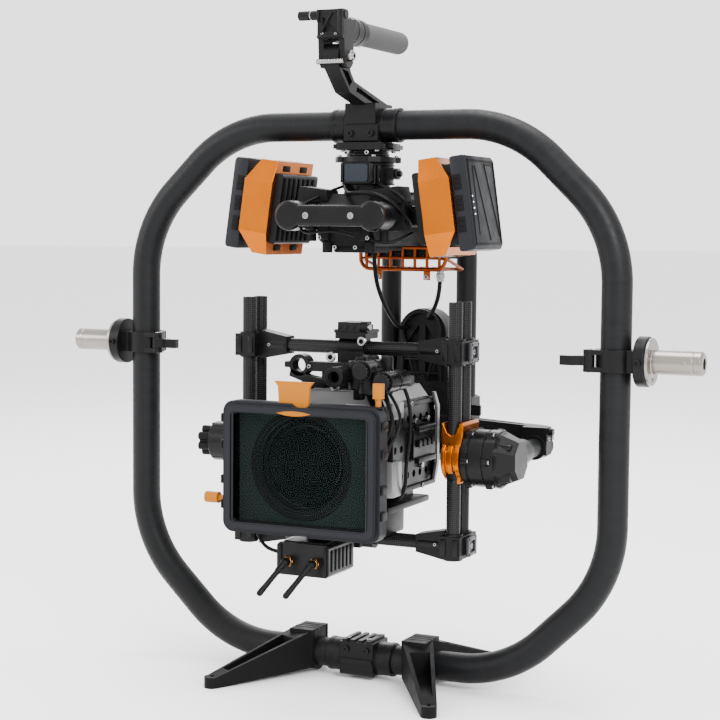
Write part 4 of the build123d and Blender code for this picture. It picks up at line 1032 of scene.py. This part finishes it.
BAFFLE_POINTS, BAFFLE_Y, BAFFLE_HALF_X, BAFFLE_HALF_Z = 96, -158.5, 0.075, 0.0575
bm = bmesh.new()
circle, edge = [], []
for out in around(BAFFLE_POINTS, 1, X, Z):
    reach = min(BAFFLE_HALF_X / max(abs(out.x), 1e-6), BAFFLE_HALF_Z / max(abs(out.z), 1e-6))
    circle.append(bm.verts.new(mm(3, BAFFLE_Y, 253) + out * 0.0552))
    edge.append(bm.verts.new(mm(3, BAFFLE_Y, 251) + out * reach))
for k in range(BAFFLE_POINTS):
    after = (k + 1) % BAFFLE_POINTS
    bm.faces.new([circle[k], circle[after], edge[after], edge[k]])
# the baffle takes the painted light colour, pale green-grey over a black part
add_piece("filter_box_baffle", bm, "tilt", PAINTED_LIGHT_BAFFLE)

bm = bmesh.new()
sliver = [(-0.020, 0.0), (-0.010, -0.0022), (0.0, -0.0029), (0.010, -0.0022), (0.020, 0.0), (0.010, 0.0018),
          (0.0, 0.0024), (-0.010, 0.0018)]
prism(bm, sliver, mm(0, -173.4, 309.5), X, Z, 0.0012, 0.0003)
add_piece("filter_tray_sliver", bm, "tilt", PALE_ORANGE)

bm = bmesh.new()
blocks(bm, 0.0008, *[((x - 1.5, -168, z), (x + 0.8, -156, z + 9))
                     for x in (-86, 96) for z in (206, 232, 268, 296)])
bar(bm, (-85, -162, 216), X, -83.6, 0.006)
bar(bm, (86, -157, 317.5), Z, 319.2, 0.0058)
blocks(bm, 0.001, ((-78, -150, 222), (-60, -146, 290)), ((62, -150, 222), (86, -146, 290)))
add_piece("filter_box_side_ribs", bm, "tilt", BLACK)

# ------------ accessories above the lens

bm = bmesh.new()
for x, z in ((44, 324), (52, 318), (60, 324), (30, 322)):
    bar(bm, (x, -78, z), Z, z + 40, 0.0062, edge=0.001)
for x, y, z in ((38, -104, 330), (52, -108, 326)):
    bar(bm, (x, y, z), Z, z + 30, 0.0095, edge=0.001)
bar(bm, (24, -132, 344), Y, -112, 0.0105, 0.0062)
blocks(bm, 0.002, ((30, -98, 318), (40, -88, 350)), ((12, -100, 330), (36, -90, 338)))
for y, depth, outline in (
        (-86, 0.010, [(-0.046, 0.340), (-0.022, 0.332), (0.004, 0.332), (0.004, 0.338), (-0.020, 0.340),
                      (-0.044, 0.349)]),
        (-78, 0.008, [(-0.052, 0.316), (-0.036, 0.334), (-0.008, 0.334), (-0.008, 0.328), (-0.033, 0.328),
                      (-0.046, 0.314)])):
    prism(bm, outline, mm(0, y, 0), X, Z, depth, 0.001)
block(bm, mm(-18, -46, 384), mm(22, -14, 388), 0.0015)
for x in (-12, -4, 4, 12):
    block(bm, mm(x, -49, 388), mm(x + 4, -17, 393), 0.0012)
bar(bm, (14, -44, 391), X, 22, 0.006)
add_piece("accessory_brackets", bm, "tilt", BLACK)

bm = bmesh.new()
for seat in ((4, -96, 362), (12, -101, 332), (17, -48, 376)):
    socket_screw(bm, mm(*seat), -Y, 0.0052, 0.003)
for seat in ((-22, -95.5, 351), (8, -96, 350), (37, -100, 347)):
    socket_screw(bm, mm(*seat), -Y, 0.0022, 0.0016)
bar(bm, (22, -44, 391), X, 25, 0.0035)
add_piece("accessory_screws", bm, "tilt", BRIGHT_STEEL)

bm = bmesh.new()
for x, z in ((50, 350), (74, 340)):
    for out in around(14, 0.0085, X, Z):
        spot = mm(x, -124.2, z) + out
        rod(bm, spot, spot + Y * 0.005, 0.001, segments=8)
    bar(bm, (x, -124.6, z), Y, -119.8, 0.0085)
    bar(bm, (x, -96, z), Y, -94, 0.0116, 0.0108)
add_piece("lens_motor_gears", bm, "tilt", SATIN_BLACK)

# ------------ transmitter and aerials

AERIAL_X, AERIAL_Z, PIVOT_Y = (-21, 9), 152, -151
TAIL_R, TIP_R = 0.0029, 0.0033
bm = bmesh.new()
for x in AERIAL_X:
    bar(bm, (x, -144.6, AERIAL_Z), Y, -140.2, 0.0058, segments=6)
    bar(bm, (x, -146.2, AERIAL_Z), Y, -144.6, 0.0048)
add_piece("aerial_connectors", bm, "tilt", GOLD)

bm = bmesh.new()
for start, end, radius in ((-50, -44, 0.0034), (-44, -36, 0.0044), (-41, -39, 0.0050)):
    bar(bm, (start, -110, 154), X, end, radius)
add_piece("transmitter_connector", bm, "tilt", BRIGHT_STEEL)

bm = bmesh.new()
blocks(bm, 0.0006, *[((x, -141.5, 139), (x + 4, -139.5, 169)) for x in (-34, 18)])
blocks(bm, 0.0005, *[((23.5, -134 + 9 * k, 143), (25.2, -129 + 9 * k, 165)) for k in range(6)])
blocks(bm, 0.0012, ((-30, -136, 169.5), (18, -84, 172.5)))
add_piece("transmitter_covers", bm, "tilt", BLACK)

for x, (_, word) in zip(AERIAL_X, SIDES):
    pivot = mm(x, PIVOT_Y, AERIAL_Z)
    along = mm(-14, -28, -28)
    reach = along.length
    bm = bmesh.new()
    revolve(bm, [(0, 0), (0, 0.0040), (0.0006, 0.0045), (0.0047, 0.0045)], mm(x, -146.3, AERIAL_Z), -Y, 32)
    bmesh.ops.create_uvsphere(bm, u_segments=24, v_segments=16, radius=0.0045,
                              matrix=Matrix.Translation(pivot))
    profile = [(0, 0.0036), (0.012, 0.0036), (0.014, TAIL_R), (reach * 0.6, TAIL_R)]
    profile += [(reach + TIP_R * math.sin(a), TIP_R * math.cos(a))
                for a in (math.radians(15 * k) for k in range(7))]
    revolve(bm, profile, pivot, along, 32)
    add_piece(f"aerial_{word}", bm, f"antenna_{word}", CABLE, [f"antenna_{word}"])

# ------------ cables on the payload

PAYLOAD_LEAD = 4
wire("transmitter_lead", [(-44, -110, 154), (-62, -110, 154), (-74, -112, 170), (-68, -126, 190),
                          (-68, -148, 190)], PAYLOAD_LEAD, "tilt", ["payload_cables"])
wire("lens_motor_lead", [(50, -72, 350), (50, -56, 350), (70, -46, 326), (76, -50, 288), (72, -54, 250),
                         (70, -50, 220), (58, -46, 206), (36, -46, 206)], PAYLOAD_LEAD, "tilt")
BUNDLE_ROUTE = [(46, -78, 326), (54, -86, 308), (62, -96, 288), (64, -102, 264), (60, -104, 244),
                (50, -98, 226)]
STRANDS = [  # start aside, sway aside, sway forward, end down, diameter
    (-4, 0, 0, 0, 3.6), (2, 6, 4, -4, 3.6), (8, -6, -3, 4, 3.2), (-10, 8, -6, -8, 4.4), (12, 4, 6, -14, 3.6),
    (6, 12, 2, -2, 3.0), (-2, -10, 3, 8, 3.4), (16, 10, 8, 6, 3.4), (-6, 3, -8, -18, 3.8),
]
for number, (aside, sway, forward, drop, diameter) in enumerate(STRANDS):
    points = []
    for k, (x, y, z) in enumerate(BUNDLE_ROUTE):
        share = k / (len(BUNDLE_ROUTE) - 1)
        wave = math.sin(math.pi * share * (1.4 + 0.25 * (number % 3)))
        points.append((x + aside * (1 - share) + sway * wave, y + forward * wave, z + drop * share))
    wire(f"bundle_strand_{number}", points, diameter, "tilt")

# ------------ studio

floor_mesh = bmesh.new()
bmesh.ops.create_circle(floor_mesh, cap_ends=True, radius=40, segments=96)
floor_data = bpy.data.meshes.new("floor")
floor_mesh.to_mesh(floor_data)
floor_mesh.free()
floor = bpy.data.objects.new("floor", floor_data)
bpy.context.scene.collection.objects.link(floor)
floor_shader = Shader("pale_floor", (0.86, 0.86, 0.86), roughness=0.75)
floor_data.materials.append(floor_shader.material)

world = bpy.data.worlds.new("studio")
bpy.context.scene.world = world
world.use_nodes = True
world.node_tree.nodes["Background"].inputs["Color"].default_value = (1, 1, 1, 1)
world.node_tree.nodes["Background"].inputs["Strength"].default_value = 2.4


def softbox(name, place, size, power, target=(0, 0, 0.35)):
    """A square area light aimed at the object."""
    light = bpy.data.lights.new(name, "AREA")
    light.shape = "RECTANGLE"
    light.size, light.size_y = size
    light.energy = power
    lamp = bpy.data.objects.new(name, light)
    lamp.location = place
    lamp.rotation_euler = (Vector(target) - Vector(place)).to_track_quat("-Z", "Y").to_euler()
    bpy.context.scene.collection.objects.link(lamp)


softbox("key_right", (2.2, -2.0, 1.9), (1.2, 1.2), 150)
softbox("fill_left", (-2.4, -1.8, 1.4), (1.4, 1.4), 60)
softbox("top", (0.0, 0.2, 2.6), (1.6, 1.6), 90)
softbox("back_rim", (-1.2, 2.2, 1.8), (1.4, 1.0), 30)
